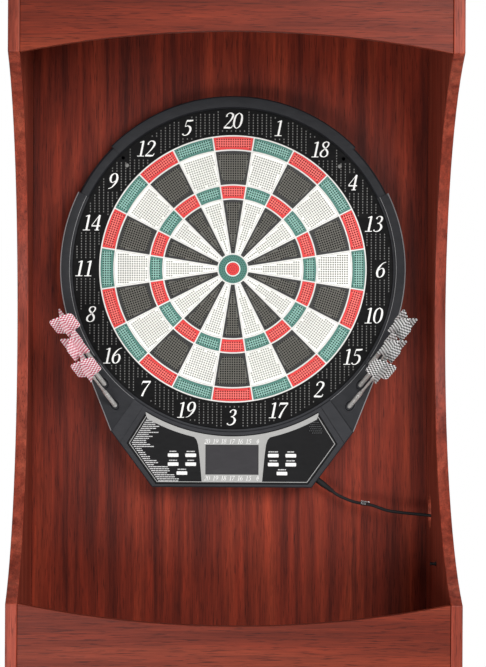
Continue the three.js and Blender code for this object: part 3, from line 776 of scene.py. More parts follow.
# Above this angle the frame is the lower and narrower top arc.
JOINT_ANGLE = 26.3
TOP_ARC_RADIUS = 252
WING_INNER_RADIUS = 241.0
ARC_INNER_RADIUS = 238.6
# The angle at which the straight side of a wing leaves the circle.
TANGENT = math.degrees(
    math.atan2(WING_CORNER[1], WING_CORNER[0]) + math.acos(BOARD_RADIUS / math.hypot(*WING_CORNER))
)
# Each seam's inner end, outer end and width, on the right. The left is its mirror.
SEAMS = [((144.5, -193), (179, -241), 1.1), ((130, -202), (165, -256), 0.7)]
SEAM_DEPTH = 1.4
# The seams of the top arc: their angles, the radii that they run between, their width and their depth.
TOP_SEAMS = (45.0, 135.0)
TOP_SEAM_SPAN = (236, 254)
TOP_SEAM_WIDTH, TOP_SEAM_DEPTH = 0.5, 2.2
# Where the darts stand in the right wing, and the way they point out of it.
HOLDERS = [(205, -138), (190, -170), (174, -201.5)]
DART_AXIS = Vector((0.4, -0.731, 0.553)).normalized()
# The console's right side runs from its top corner by its widest point to its foot, below the round top edge.
CONSOLE_TOP_RADIUS = 246.5
CONSOLE_TOP = (129, -216)
CONSOLE_SIDE = (155.5, -258.3)
CONSOLE_FOOT = (112.5, -318.2)
CONSOLE_FACE = 48.5


def outline_radius(angle):
    """How far the board's outline is from the bull's-eye, at an angle in degrees."""
    turn = (angle + 90) % 360 - 90
    if turn > 90:
        turn = 180 - turn
    if turn > TANGENT:
        return BOARD_RADIUS
    way = Vector((math.cos(math.radians(turn)), math.sin(math.radians(turn))))
    leaves = Vector((math.cos(math.radians(TANGENT)), math.sin(math.radians(TANGENT)))) * BOARD_RADIUS
    corners = [leaves, Vector(WING_CORNER), Vector(CHIN_CORNER), Vector((-CHIN_CORNER[0], CHIN_CORNER[1]))]
    for a, b in zip(corners, corners[1:]):
        side = b - a
        across = way.cross(side)
        if abs(across) < 1e-9:
            continue
        distance = a.cross(side) / across
        share = a.cross(way) / across
        if -1e-6 <= share <= 1 + 1e-6 and distance > 0:
            return distance
    return BOARD_RADIUS


def bezel_profile(angle, raised):
    """Radius and depth round the frame's section: raised in the wings, lower and narrower in the top arc."""
    if raised:
        outer, inner, face = outline_radius(angle), WING_INNER_RADIUS, BEZEL_FACE
    elif TOP_SEAMS[0] < angle < TOP_SEAMS[1]:
        outer, inner, face = BOARD_RADIUS, ARC_INNER_RADIUS, BEZEL_FACE - 0.6
    else:
        outer, inner, face = TOP_ARC_RADIUS, ARC_INNER_RADIUS, BEZEL_FACE - 1.2
    back = HOUSING_FRONT + GAP
    return [
        (outer, back), (outer, face - 2.2), (outer - 0.5, face - 1.0), (outer - 1.7, face - 0.1),
        (outer - 2.6, face), (inner + 1.9, face), (inner + 0.9, face - 0.25), (inner + 0.2, face - 1.0),
        (inner, face - 2.0),
        (inner - 0.4, 45.6), (237.6, 45.2), (237.3, 44.0), (237.3, back),
    ]


def make_bezel():
    # The frame's section changes within this many degrees at each joint.
    step = 0.06
    angles = set(range(0, 360, 2))
    for corner in (WING_CORNER, CHIN_CORNER):
        turn = math.degrees(math.atan2(corner[1], corner[0]))
        angles |= {turn % 360, (180 - turn) % 360}
    angles |= {TANGENT % 360, (180 - TANGENT) % 360}
    low, high = JOINT_ANGLE, 180 - JOINT_ANGLE
    joints = (low, high, *TOP_SEAMS)
    plain = [(a, not low < a < high) for a in angles if min(abs(a - joint) for joint in joints) > step]
    steps = [(low - step, True), (low + step, False), (high - step, False), (high + step, True)]
    steps += [(seam + side * step, False) for seam in TOP_SEAMS for side in (-1, 1)]
    rings = []
    for angle, raised in sorted(plain + steps):
        turn = math.radians(angle)
        section = bezel_profile(angle, raised)
        rings.append([board(r * math.cos(turn), r * math.sin(turn), depth) for r, depth in section])
    solid = Solid().add(*loft(rings, joined=True))
    cutter = Solid()
    plate(cutter, console_outline(-GAP), [], HOUSING_FRONT - 2, BEZEL_FACE + 2)
    for side in (-1, 1):
        for start, end, width in SEAMS:
            groove(cutter, (side * start[0], start[1]), (side * end[0], end[1]), width, SEAM_DEPTH)
    for angle in TOP_SEAMS:
        turn = math.radians(angle)
        ends = [(radius * math.cos(turn), radius * math.sin(turn)) for radius in TOP_SEAM_SPAN]
        groove(cutter, *ends, TOP_SEAM_WIDTH, TOP_SEAM_DEPTH)
    holes = Solid()
    for side in (-1, 1):
        for x, z in HOLDERS:
            cup(holes, side, x, z)
    bezel = solid.make("bezel_moulding", "cabinet", "shell", [SHELL, FRAME_GREY, SHELL_EDGE_HIGHLIGHT])
    subtract(bezel, cutter)
    subtract(bezel, holes)
    mesh = bezel.data
    for polygon in mesh.polygons:
        centre = Vector(polygon.center) / MM
        x, z = centre.x - BULL_X, centre.z - BULL_Z
        away, angle = math.hypot(x, z), math.degrees(math.atan2(z, x))
        if on_console_frame(x, z):
            polygon.material_index = 1
        elif not JOINT_ANGLE < angle < 180 - JOINT_ANGLE and 0.15 < -polygon.normal.y < 0.9:
            # Forward-sloping faces along the wings' inner and outer rims get the paler grey as a painted
            # highlight.
            on_inner_rim = 0.2 < away - WING_INNER_RADIUS < 2.2
            on_outer_rim = outline_radius(angle) - away < 2.0
            polygon.material_index = 2 if on_inner_rim or on_outer_rim else 0
    mesh.set_sharp_from_angle(angle=math.radians(28))
    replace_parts(bezel, "front_bezel")


def on_console_frame(x, z):
    """Whether a point lies below the first seam, on the frame of the console."""
    start, end, _ = SEAMS[0]
    side = (end[0] - start[0]) * (z - start[1]) - (end[1] - start[1]) * (abs(x) - start[0])
    return z < -150 and side < 0


def groove(solid, start, end, width, depth):
    """The cutter of a straight seam, longer than the face it crosses."""
    a, b = Vector(start), Vector(end)
    way = (b - a).normalized()
    across = Vector((-way.y, way.x)) * (width / 2)
    a, b = a - way * 6, b + way * 6
    plate(solid, [a - across, b - across, b + across, a + across], [], BEZEL_FACE - depth, BEZEL_FACE + 2)


def cup(solid, side, x, z):
    """An oval cup, longer along the dart, and the dart's own hole below it."""
    axis = Vector((side * DART_AXIS.x, DART_AXIS.y, DART_AXIS.z))
    start = Vector(board(side * x, z, BEZEL_FACE))
    flat = Vector((axis.x, 0, axis.z)).normalized()
    across = Vector((-flat.z, 0, flat.x))
    length, width, depth = 8.8, 6.6, 7.0
    rings = []
    for share in (-0.98, -0.85, -0.6, -0.3, 0.0, 0.3):
        middle = start + Vector((0, -depth * share, 0))
        round_it = circle(math.sqrt(1 - share * share), 28)
        rings.append([tuple(middle + flat * (length * x) + across * (width * y)) for x, y in round_it])
    solid.add(*capped_loft(rings))
    solid.add(*lathe([(5.2, -40), (5.2, 3)], 20, along_axis(start, axis)))


def subtract(piece, tool):
    """Cuts a solid out of a piece, once and for all."""
    mesh = bpy.data.meshes.new("tool")
    mesh.from_pydata([[v * MM for v in point] for point in tool.points], [], tool.faces)
    cutter = put_in_scene("tool", mesh)
    settings = piece.modifiers.new("cut", "BOOLEAN")
    settings.operation = "DIFFERENCE"
    settings.solver = "EXACT"
    settings.use_self = True
    settings.object = cutter
    bpy.context.view_layer.update()
    graph = bpy.context.evaluated_depsgraph_get()
    result = bpy.data.meshes.new_from_object(piece.evaluated_get(graph))
    piece.modifiers.clear()
    piece.data = result
    bpy.data.objects.remove(cutter)


def console_outline(move):
    """The console's outline, moved inwards by an amount."""
    top = Vector(CONSOLE_TOP).normalized() * CONSOLE_TOP_RADIUS
    start = math.degrees(math.atan2(top.y, top.x))
    upper = arc(CONSOLE_TOP_RADIUS, start, -180 - start, 36)
    loop = [CONSOLE_FOOT, CONSOLE_SIDE, *upper]
    loop += [(-x, z) for x, z in (CONSOLE_SIDE, CONSOLE_FOOT)]
    return inset(anticlockwise(loop), move)


# ---------------------------------------------------------------- target


def sector_outline(inner, outer, margin, steps=6):
    """One window between the wires, centred on the upward axis and drawn in by a margin."""
    bar = WIRE / 2 + margin
    half_turn = 180 / SECTORS
    high = half_turn - math.degrees(math.asin(bar / (outer - bar)))
    low = half_turn - math.degrees(math.asin(bar / (inner + bar)))
    return arc(outer - bar, 90 - high, 90 + high, steps) + arc(inner + bar, 90 + low, 90 - low, steps)


def turned(points, angle):
    c, s = math.cos(math.radians(angle)), math.sin(math.radians(angle))
    return [(x * c - z * s, x * s + z * c) for x, z in points]


def edge_distance(point, loop):
    nearest = 1e9
    here = Vector(point)
    for a, b in zip(loop, loop[1:] + loop[:1]):
        a, b = Vector(a), Vector(b)
        way = b - a
        share = max(0, min(1, (here - a).dot(way) / way.length_squared))
        nearest = min(nearest, (here - a - way * share).length)
    return nearest


# The grid of blind holes that take the darts' tips.
HOLE_PITCH = 3.45
HOLE_RADIUS = 1.28
HOLE_DEPTH = 2.6


def segment_solid(inner, outer, margin):
    """One segment with its grid of blind holes, whose rows follow the sector's own axis."""
    outline = sector_outline(inner, outer, GAP)
    holes = []
    columns = int(40 / HOLE_PITCH)
    rows = int((outer - inner) / HOLE_PITCH)
    start = (inner + outer) / 2 - (rows - 1) * HOLE_PITCH / 2
    for row in range(rows):
        for column in range(-columns, columns + 1):
            centre = (column * HOLE_PITCH, start + row * HOLE_PITCH)
            if inside(centre, outline) and edge_distance(centre, outline) > HOLE_RADIUS + margin:
                holes.append(arc(HOLE_RADIUS, 0, 300, 5, *centre))

    def upright(x, z, depth):
        return x, depth, z

    floors = SEGMENT_FACE - HOLE_DEPTH
    return plate(Solid(), outline, holes, SEGMENT_BACK, SEGMENT_FACE, upright, floors=floors, lit_land=1, shaded_pit=2)


def make_segments():
    wedges = [("double", "outer", "double"), ("outer_single", "triple", "outer"),
              ("triple", "inner", "triple"), ("inner_single", "bull", "inner")]
    for ring, inner, outer in wedges:
        coloured = ring in ("double", "triple")
        for parity, tint in enumerate(("red", "green") if coloured else ("black", "white")):
            solid = segment_solid(RINGS[inner], RINGS[outer], 2.0 if tint == "black" else 0.8)
            piece = Solid()
            for sector in range(parity, SECTORS, 2):
                angle = -sector * 360 / SECTORS
                flat = turned([(x, z) for x, _, z in solid.points], angle)
                points = [board(x, z, depth) for (x, z), (_, depth, _) in zip(flat, solid.points)]
                piece.add(points, solid.faces, solid.marks)
            name = f"segments_{ring}"
            made = piece.make(f"{name}_{tint}", f"target_{ring}", f"segment_{tint}", SEGMENT[tint], 30)
            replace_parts(made, name)
    make_bull()


def bull_holes(rings):
    """Small round holes in rings of (radius, count)."""
    return [circle(0.8, 6, *place) for radius, count in rings for place in circle(radius, count)]


def make_bull():
    eye, edge = RINGS["eye"], RINGS["bull"] - WIRE / 2 - GAP
    depth = SEGMENT_FACE - HOLE_DEPTH
    holes = bull_holes([(12.9, 24), (15.8, 30), (18.6, 35)])
    outer = plate(Solid(), circle(edge, 64), [circle(eye, 48), *holes], SEGMENT_BACK, SEGMENT_FACE, shaded_pit=2)
    plate(outer, circle(11.2, 48), [circle(eye + 0.1, 48)], depth, SEGMENT_FACE + 0.5, mark=3, bevel=0.3)
    finishes = [*SEGMENT["green"], WHITE]
    made = outer.make("bull_outer_green", "target_outer_bull", "segment_green", finishes, 30)
    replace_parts(made, "segment_outer_bull")
    holes = [circle(0.8, 6), *bull_holes([(3.0, 6), (6.0, 12)])]
    inner = Solid()
    plate(inner, circle(eye - GAP, 40), holes, SEGMENT_BACK, SEGMENT_FACE + 0.4, floors=depth, shaded_pit=2)
    made = inner.make("bull_inner_red", "target_inner_bull", "segment_red", SEGMENT["red"], 30)
    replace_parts(made, "segment_inner_bull")


def make_spider():
    """The moulded web between the segments, with rounded white wires on its front."""
    windows = []
    for inner, outer in (("outer", "double"), ("triple", "outer"), ("inner", "triple"), ("bull", "inner")):
        outline = sector_outline(RINGS[inner], RINGS[outer], 0)
        windows += [turned(outline, k * 360 / SECTORS) for k in range(SECTORS)]
    windows.append(circle(RINGS["bull"] - WIRE / 2, 64))
    solid = Solid()
    plate(solid, circle(RINGS["double"] + WIRE / 2, 240), windows, 37.5, SPIDER_FACE, bevel=0.6)
    web = solid.make("spider_web", "cabinet", "wire_white", WHITE, 50)
    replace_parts(web, "spider")


NUMBERS = (20, 1, 18, 4, 13, 6, 10, 15, 2, 17, 3, 19, 7, 16, 8, 11, 14, 9, 12, 5)
NUMBER_HEIGHT = 23.5
NUMBER_PLACES = arc(219.5, 90, -252, SECTORS - 1)
STUD_PITCH = (6.5, 4.0)
SCREW_HOLE = (163, 163.5)
SCREW_HEAD = (157.5, 152.5)


def has_stud(x, z, edge):
    """Whether the ring has a stud here: not near its edges, under a number or at a screw hole."""
    if not RINGS["double"] + 4 < math.hypot(x, z) < edge - 3.5:
        return False
    for value, (middle_x, middle_z) in zip(NUMBERS, NUMBER_PLACES):
        if abs(x - middle_x) < (18 if value > 9 else 11) and abs(z - middle_z) < 14.5:
            return False
    return math.hypot(abs(x) - SCREW_HOLE[0], z - SCREW_HOLE[1]) >= 6


def make_catch_ring():
    solid = Solid()
    edge = CATCH_RADIUS - GAP
    holes = [circle(RINGS["double"] + WIRE / 2 + GAP, 200)]
    holes += [circle(2.6, 16, side * SCREW_HOLE[0], SCREW_HOLE[1]) for side in (-1, 1)]
    plate(solid, circle(edge, 240), holes, CATCH_FACE - 3, CATCH_FACE)
    columns, rows = (int(edge / pitch) for pitch in STUD_PITCH)
    for column in range(-columns, columns + 1):
        for row in range(-rows, rows + 1):
            x, z = (column + 0.5) * STUD_PITCH[0], row * STUD_PITCH[1]
            if has_stud(x, z, edge):
                stud(solid, x, z)
    head = [(3.0, 0), (3.0, 0.7), (2.2, 1.3), (0.6, 1.5)]
    for side in (-1, 1):
        middle = board(side * SCREW_HEAD[0], SCREW_HEAD[1], CATCH_FACE)
        # The screw heads share the studs' grey.
        solid.add(*lathe(head, 16, along_axis(middle, (0, -1, 0))), 1)
    ring = solid.make("catch_ring_studded", "cabinet", "black_plastic", [CATCH, STUD_HIGHLIGHT])
    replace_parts(ring, "catch_ring")


def stud(solid, x, z):
    """A small raised stud with sloping sides, grey as a painted highlight."""
    base = rectangle(0, 0, 0.9, 1.2)
    top = [(px * 0.55, pz * 0.62) for px, pz in base]
    points = [board(x + px, z + pz, CATCH_FACE - 0.2) for px, pz in base]
    points += [board(x + px, z + pz, CATCH_FACE + 0.7) for px, pz in top]
    faces = [(0, 1, 5, 4), (1, 2, 6, 5), (2, 3, 7, 6), (3, 0, 4, 7), (4, 5, 6, 7), (3, 2, 1, 0)]
    solid.add(points, faces, 1)


# Each figure is drawn with a broad pen: strokes of (x, z, width), in hundredths of the figure's height.
FIGURES = {
    "0": [[(28, 98, 4), (10, 82, 10), (5, 50, 12.5), (10, 18, 10), (28, 2, 4), (46, 18, 10),
          (51, 50, 12.5), (46, 82, 10), (28, 98, 4)]],
    "1": [[(30, 3, 12), (30, 50, 12), (30, 96, 12)], [(8, 2, 4.5), (52, 2, 4.5)], [(33, 97, 6),
          (20, 91, 6), (10, 88, 3)]],
    "2": [[(9, 74, 11), (8, 84, 7), (17, 95, 5), (31, 97, 7), (45, 87, 12), (46, 70, 12), (34, 46, 8),
          (17, 22, 5), (5, 6, 5)], [(3, 5.5, 11), (22, 5.5, 11), (40, 4.5, 10), (51, 7, 6), (56, 20, 3)]],
    "3": [[(10, 80, 10), (14, 92, 5), (28, 97, 5), (42, 88, 11), (42, 70, 11), (32, 57, 5),
          (20, 53, 4)], [(22, 53, 4), (38, 48, 7), (49, 30, 13), (42, 10, 10), (24, 1, 5), (10, 5, 5),
          (5, 12, 10)]],
    "4": [[(40, 97, 5), (22, 66, 4.5), (2, 31, 4.5)], [(2, 28, 7), (56, 28, 7)], [(40, 3, 12),
          (40, 50, 12), (40, 96, 12)], [(26, 2, 4.5), (54, 2, 4.5)]],
    "5": [[(15, 93, 11), (34, 93, 11), (54, 96, 8)], [(15, 95, 4), (11, 57, 4)], [(11, 56, 4),
          (27, 61, 6), (44, 50, 12), (47, 28, 13), (36, 8, 8), (20, 1, 5), (8, 5, 6), (4, 12, 10)]],
    "6": [[(50, 98, 3), (30, 88, 6), (12, 62, 12), (6, 34, 13), (13, 10, 10), (28, 2, 4.5),
          (43, 12, 10), (48, 32, 12.5), (42, 52, 9), (30, 58, 4.5), (14, 48, 5)]],
    "7": [[(6, 92, 12), (30, 92, 12), (54, 94, 9)], [(6, 97, 3), (2, 76, 3)], [(54, 93, 5), (38, 62, 7),
          (26, 34, 10), (18, 2, 13)]],
    "8": [[(28, 98, 4), (13, 90, 9), (11, 74, 10), (28, 55, 10), (46, 34, 11), (46, 12, 9), (27, 2, 4),
          (8, 12, 10), (7, 32, 11), (25, 52, 5), (43, 72, 8), (43, 90, 8), (28, 98, 4)]],
    "B": [[(28, 98, 7), (5, 50, 7), (28, 2, 7), (51, 50, 7), (28, 98, 7)], [(28, 68, 7), (17, 50, 7),
          (28, 32, 7), (39, 50, 7), (28, 68, 7)]],
}
FIGURES["9"] = [[(56 - x, 100 - z, width) for x, z, width in stroke] for stroke in FIGURES["6"]]
# Shares of the figure's height: how far it leans, and the width of its cell.
SLANT = 0.2
FIGURE_WIDTH = 0.56


def stroke_outline(stroke, steps=7):
    """Both sides of a pen stroke through its points, as left and right lists."""
    ends = [stroke[0], *stroke, stroke[-1]]
    line = []
    for p0, p1, p2, p3 in zip(ends, ends[1:], ends[2:], ends[3:]):
        for i in range(steps):
            t = i / steps
            weights = (
                2 * t**2 - t - t**3, 2 - 5 * t**2 + 3 * t**3, t + 4 * t**2 - 3 * t**3, t**3 - t**2,
            )
            line.append([sum(w * v for w, v in zip(weights, values)) / 2 for values in zip(p0, p1, p2, p3)])
    line.append(list(stroke[-1]))
    closed = stroke[0] == stroke[-1]
    left, right = [], []
    for i, (x, z, width) in enumerate(line):
        before = line[i - 1] if i else (line[-2] if closed else line[0])
        after = line[i + 1] if i + 1 < len(line) else (line[1] if closed else line[-1])
        way = Vector((after[0] - before[0], after[1] - before[1])).normalized()
        left.append((x - way.y * width / 2, z + way.x * width / 2))
        right.append((x + way.y * width / 2, z - way.x * width / 2))
    return left, right


def figure(solid, name, x, z, height, near, far):
    """A raised figure whose cell has its middle at a point."""
    for k, stroke in enumerate(FIGURES[name]):
        left, right = stroke_outline([[v / 100 for v in point] for point in stroke])
        rings = []
        # Strokes that cross lie at different heights.
        lift = far + 0.03 * k
        for a, b in zip(left, right):
            ring = []
            for (px, pz), depth in ((a, near), (a, lift), (b, lift), (b, near)):
                px = px + SLANT * (pz - 0.5) - FIGURE_WIDTH / 2
                ring.append(board(x + px * height, z + (pz - 0.5) * height, depth))
            rings.append(ring)
        points, faces = loft(rings)
        faces += [(0, 1, 2, 3), tuple(len(points) - 1 - i for i in range(4))]
        solid.add(points, faces)


def number(solid, text, x, z, height, near, far, spacing):
    for i, name in enumerate(text):
        figure(solid, name, x + (i - (len(text) - 1) / 2) * spacing * height, z, height, near, far)


def make_numbers():
    solid = Solid()
    for value, place in zip(NUMBERS, NUMBER_PLACES):
        number(solid, str(value), *place, NUMBER_HEIGHT, CATCH_FACE - 0.2, CATCH_FACE + 0.8, 0.56)
    solid.make("number_ring_figures", "cabinet", "white_print", PRINT_WHITE, 40)


# ---------------------------------------------------------------- console

DISPLAY_LOW, DISPLAY_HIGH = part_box("display_lens")
# How high the print stands on the fascia.
PRINT = 0.12


def display_frame(grow):
    """The display's outline, moved outwards by an amount."""
    low_x, high_x = DISPLAY_LOW.x / MM - BULL_X - grow, DISPLAY_HIGH.x / MM - BULL_X + grow
    low_z, high_z = DISPLAY_LOW.z / MM - BULL_Z - grow, DISPLAY_HIGH.z / MM - BULL_Z + grow
    return [(low_x, low_z), (high_x, low_z), (high_x, high_z), (low_x, high_z)]


def button_places():
    places = []
    for i in range(1, 11):
        low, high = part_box(f"button_{i}")
        places.append(((low.x + high.x) / 2 / MM - BULL_X, (low.z + high.z) / 2 / MM - BULL_Z))
    return places


# Half the width and height of a button.
BUTTON_HALF = (8.0, 2.7)


def rectangle(x, z, half_width, half_height, radius=0.0, steps=3):
    if radius <= 0:
        corners = ((-1, -1), (1, -1), (1, 1), (-1, 1))
        return [(x + sx * half_width, z + sz * half_height) for sx, sz in corners]
    loop = []
    for k, (sx, sz) in enumerate(QUARTERS):
        middle = x + sx * (half_width - radius), z + sz * (half_height - radius)
        loop += arc(radius, 90 * k, 90 * k + 90, steps, *middle)
    return loop


# The speaker's rows of holes from the top: where each begins and how many it has.
SPEAKER_ROWS = ((119.5, 3), (118.0, 4), (116.5, 5), (115.0, 6), (116.5, 6), (115.0, 7), (119.5, 5))
SPEAKER_TOP = -223.5
SPEAKER_PITCH = (3.0, 3.1)


def speaker_holes():
    return [
        (first + SPEAKER_PITCH[0] * k, SPEAKER_TOP - SPEAKER_PITCH[1] * row)
        for row, (first, count) in enumerate(SPEAKER_ROWS) for k in range(count)
    ]


def make_console():
    outline = console_outline(GAP)
    windows = [display_frame(GAP)]
    half = [v + 0.35 for v in BUTTON_HALF]
    windows += [rectangle(x, z, *half, 1.2) for x, z in button_places()]
    windows += [circle(0.85, 10, x, z) for x, z in speaker_holes()]
    panel = Solid()
    plate(panel, outline, windows, CONSOLE_FACE - 3, CONSOLE_FACE)
    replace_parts(panel.make("console_fascia", "cabinet", "black_plastic", CONSOLE), "console_panel")
    make_silver()
    make_display()
    make_buttons()
    make_console_text()


def make_silver():
    """The silver print: a line round the console, a band under its round top and the display's surround."""
    solid = Solid()
    far = CONSOLE_FACE + PRINT
    plate(solid, console_outline(2.6), [console_outline(3.5)], CONSOLE_FACE - 0.2, far)
    band_outer, band_inner = CONSOLE_TOP_RADIUS + 1.3, 255.0
    top_x, foot_z = 128.5, CONSOLE_FOOT[1] + 3.2
    flank = [(56, -249), (52.5, -253), (50.2, -260), (48.2, -276), (46.2, -297), (44.6, foot_z)]

    def band(radius, first_x, last_x, steps):
        turns = [math.degrees(math.atan2(-math.sqrt(radius * radius - x * x), x)) for x in (first_x, last_x)]
        return arc(radius, *turns, steps)

    lower = band(band_inner, 125.5, 60, 12)
    upper = band(band_outer, top_x, -top_x, 40)
    loop = upper + [(-x, z) for x, z in lower] + [(-x, z) for x, z in flank] + flank[::-1] + lower[::-1]
    plate(solid, loop, [display_frame(-0.2)], CONSOLE_FACE - 0.1, far + 0.05)
    solid.make("console_silver_print", "cabinet", "silver_print", SILVER, 40)


def make_display():
    """The tinted lens, with a black mask round its opening."""
    lens = Solid()
    low, high = DISPLAY_LOW / MM, DISPLAY_HIGH / MM
    middle = (low + high) / 2
    half = ((high.x - low.x) / 2, (high.z - low.z) / 2)
    back, face = BACK_FACE - high.y, BACK_FACE - low.y
    x, z = middle.x - BULL_X, middle.z - BULL_Z
    plate(lens, rectangle(x, z, *half, 1.2), [], back, face, bevel=0.35)
    mask = rectangle(x, z, half[0] - 0.4, half[1] - 0.4, 1.2)
    opening = rectangle(x, z, half[0] - 1.5, half[1] - 1.5, 0.8)
    plate(lens, mask, [opening], face - 0.1, face + 0.06, mark=1)
    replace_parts(lens.make("display_window", "cabinet", "display_glass", [GLASS, BLACK]), "display_lens")


def make_buttons():
    for i, (x, z) in enumerate(button_places(), 1):
        low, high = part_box(f"button_{i}")
        back, face = BACK_FACE - high.y / MM, BACK_FACE - low.y / MM
        cap = Solid()
        # From the back: the flange behind the fascia, the cap and its raised middle.
        steps = [(1.2, 1.5, back, back + 1, 0.0), (-0.1, 1.1, back + 0.5, face - 0.25, 0.3),
                 (-0.8, 0.8, back + 0.5, face, 0.2)]
        for grow, radius, near, far, bevel in steps:
            outline = rectangle(x, z, *(half + grow for half in BUTTON_HALF), radius)
            plate(cap, outline, [], near, far, bevel=bevel)
        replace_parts(cap.make(f"key_cap_{i}", f"key_{i}", "button_white", BUTTON, 40), f"button_{i}")


def words(solid, rng, x, z, length, height):
    """A generic line of print: short strokes with gaps between them, none of which is a letter."""
    done = 0.0
    while done < length - 0.8:
        run = min(rng.uniform(1.6, 6.5), length - done)
        half = (run / 2, height / 2)
        loop = [(px + SLANT * (pz - z), pz) for px, pz in rectangle(x + done + run / 2, z, *half)]
        plate(solid, loop, [], CONSOLE_FACE - 0.1, CONSOLE_FACE + PRINT)
        done += run + 0.55


# The lines of small print follow the console's left side. The middle ones are shorter, and those beside the
# buttons end before them.
NOTE_TOP, NOTE_PITCH, NOTE_ROWS, NOTE_MARGIN = -224.5, 2.98, 31, 6.8
SHORT_ROWS, SHORT_NOTE, LONG_NOTE = range(14, 23), 19, 33
BUTTONS_LEFT, BUTTONS_TOP = -66, -268
SCORE_SYMBOLS = ("20", "19", "18", "17", "16", "15", "B")
SCORE_ROWS, SCORE_PITCH, SCORE_HEIGHT = (-255.2, -309.5), 12.2, 6.8


def console_side(z):
    """How far the console's side is from the middle at a height."""
    start, end = (CONSOLE_TOP, CONSOLE_SIDE) if z > CONSOLE_SIDE[1] else (CONSOLE_SIDE, CONSOLE_FOOT)
    return start[0] + (end[0] - start[0]) * (z - start[1]) / (end[1] - start[1])


def make_console_text():
    rng = random.Random(7)
    text = Solid()
    for x, z in button_places():
        label = rng.uniform(9, 15)
        words(text, rng, x - label / 2, z + 5.6, label, 1.5)
    for row in range(NOTE_ROWS):
        z = NOTE_TOP - NOTE_PITCH * row
        x = NOTE_MARGIN - console_side(z)
        room = SHORT_NOTE if row in SHORT_ROWS else LONG_NOTE
        if z < BUTTONS_TOP:
            room = min(BUTTONS_LEFT - x, room)
        words(text, rng, x, z, max(6.0, room * rng.uniform(0.45, 1.0)), 1.35)
    text.make("console_text_print", "cabinet", "white_print", PRINT_DIM, 40)
    scores = Solid()
    for z in SCORE_ROWS:
        for k, symbol in enumerate(SCORE_SYMBOLS):
            x = (k - 3) * SCORE_PITCH + (1.5 if symbol == "B" else 0)
            number(scores, symbol, x, z, SCORE_HEIGHT, CONSOLE_FACE, CONSOLE_FACE + 0.5, 0.6)
    scores.make("score_key_figures", "cabinet", "white_print", PRINT_WHITE, 40)


# ---------------------------------------------------------------- darts

# Distances along a dart from the wing's face: its point, and the ends of its tip, barrel, shaft and flight.
DART_POINT, DART_TIP, DART_BARREL, DART_SHAFT, DART_END = -32, -9, 38, 78, 118
DART_ROLLS = {"left": (-20, 45, -20), "right": (45, 45, -20)}
VANE_REACH, VANE_THICKNESS = 18.5, 0.5
# The side of one of a flight's printed checks.
CHECK = 2.9


def make_darts():
    for side_name, side in (("left", -1), ("right", 1)):
        for i, (x, z) in enumerate(HOLDERS):
            start = board(side * x, z, BEZEL_FACE)
            axis = (side * DART_AXIS.x, DART_AXIS.y, DART_AXIS.z)
            body = f"{side_name}_dart_{i + 1}"
            make_dart(f"{side_name}_{i + 1}", body, start, axis)
            roll = math.radians(-side * DART_ROLLS[side_name][i])
            make_flight(side_name, i + 1, body, start, axis, roll)
            make_holder(f"dart_holder_{side_name}_{i + 1}", start, axis)


def make_dart(name, body, start, axis):
    place = along_axis(start, axis)
    profile = [(0.3, DART_POINT), (0.8, DART_POINT + 0.6), (1.3, DART_TIP - 8), (1.5, DART_TIP - 2)]
    profile += [(2.4, DART_TIP - 1.6), (2.6, DART_TIP), (3.1, DART_TIP + 3)]
    knurls = 26
    pitch = (DART_BARREL - DART_TIP - 12) / knurls
    knurl = [(3.3, 0), (3.3, pitch * 0.5), (2.85, pitch * 0.62), (2.85, pitch * 0.9)]
    profile += repeated(knurls, DART_TIP + 5, pitch, knurl)
    profile += [(3.3, DART_BARREL - 6), (3.3, DART_BARREL - 4), (2.7, DART_BARREL - 1.5), (2.4, DART_BARREL)]
    shaft = [(2.0, DART_BARREL - 1), (2.3, DART_BARREL + 0.3), (2.3, DART_BARREL + 5), (1.7, DART_BARREL + 8)]
    shaft += [(1.9, DART_BARREL + 20), (1.7, DART_SHAFT - 10), (2.3, DART_SHAFT - 6), (2.3, DART_SHAFT - 1)]
    shaft += [(1.9, DART_SHAFT)]
    dart = Solid().add(*lathe(profile, 24, place)).add(*lathe(shaft, 20, place))
    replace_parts(dart.make(f"dart_{name}_turned", body, "dart_metal", CHROME, 25), f"dart_{name}")


def vane_rim(steps=4):
    """The free edge of one vane, from the shaft's end to the tail: distances across and along."""
    start, end = DART_SHAFT + GAP, DART_END
    rim = [(0.0, start), (2.0, start)]
    rim += [(VANE_REACH - 5 + x, start + 10 + z) for x, z in arc(5, -60, 0, steps)]
    rim += [(VANE_REACH - 6 + x, end - 6 + z) for x, z in arc(6, 0, 90, steps)]
    return rim + [(0.0, end)]


def make_flight(side_name, count, body, start, axis, roll):
    place = along_axis(start, axis, roll)
    solid, uv = Solid(), []
    rim = vane_rim()
    for turn in range(4):
        c, s = math.cos(turn * math.pi / 2), math.sin(turn * math.pi / 2)
        rings = []
        for face in (-VANE_THICKNESS / 2, VANE_THICKNESS / 2):
            ring = [place(across * c - face * s, across * s + face * c, along) for across, along in rim]
            rings.append(ring)
            uv += [(across / CHECK + 0.5 * turn, (along - DART_SHAFT) / CHECK) for across, along in rim]
        solid.add(*capped_loft(rings))
    name = f"flight_{side_name}_{count}"
    slot = "flight_pink" if side_name == "left" else "flight_black"
    piece = solid.make(name + "_vanes", body, slot, FLIGHT[side_name], 30, uv)
    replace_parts(piece, name)


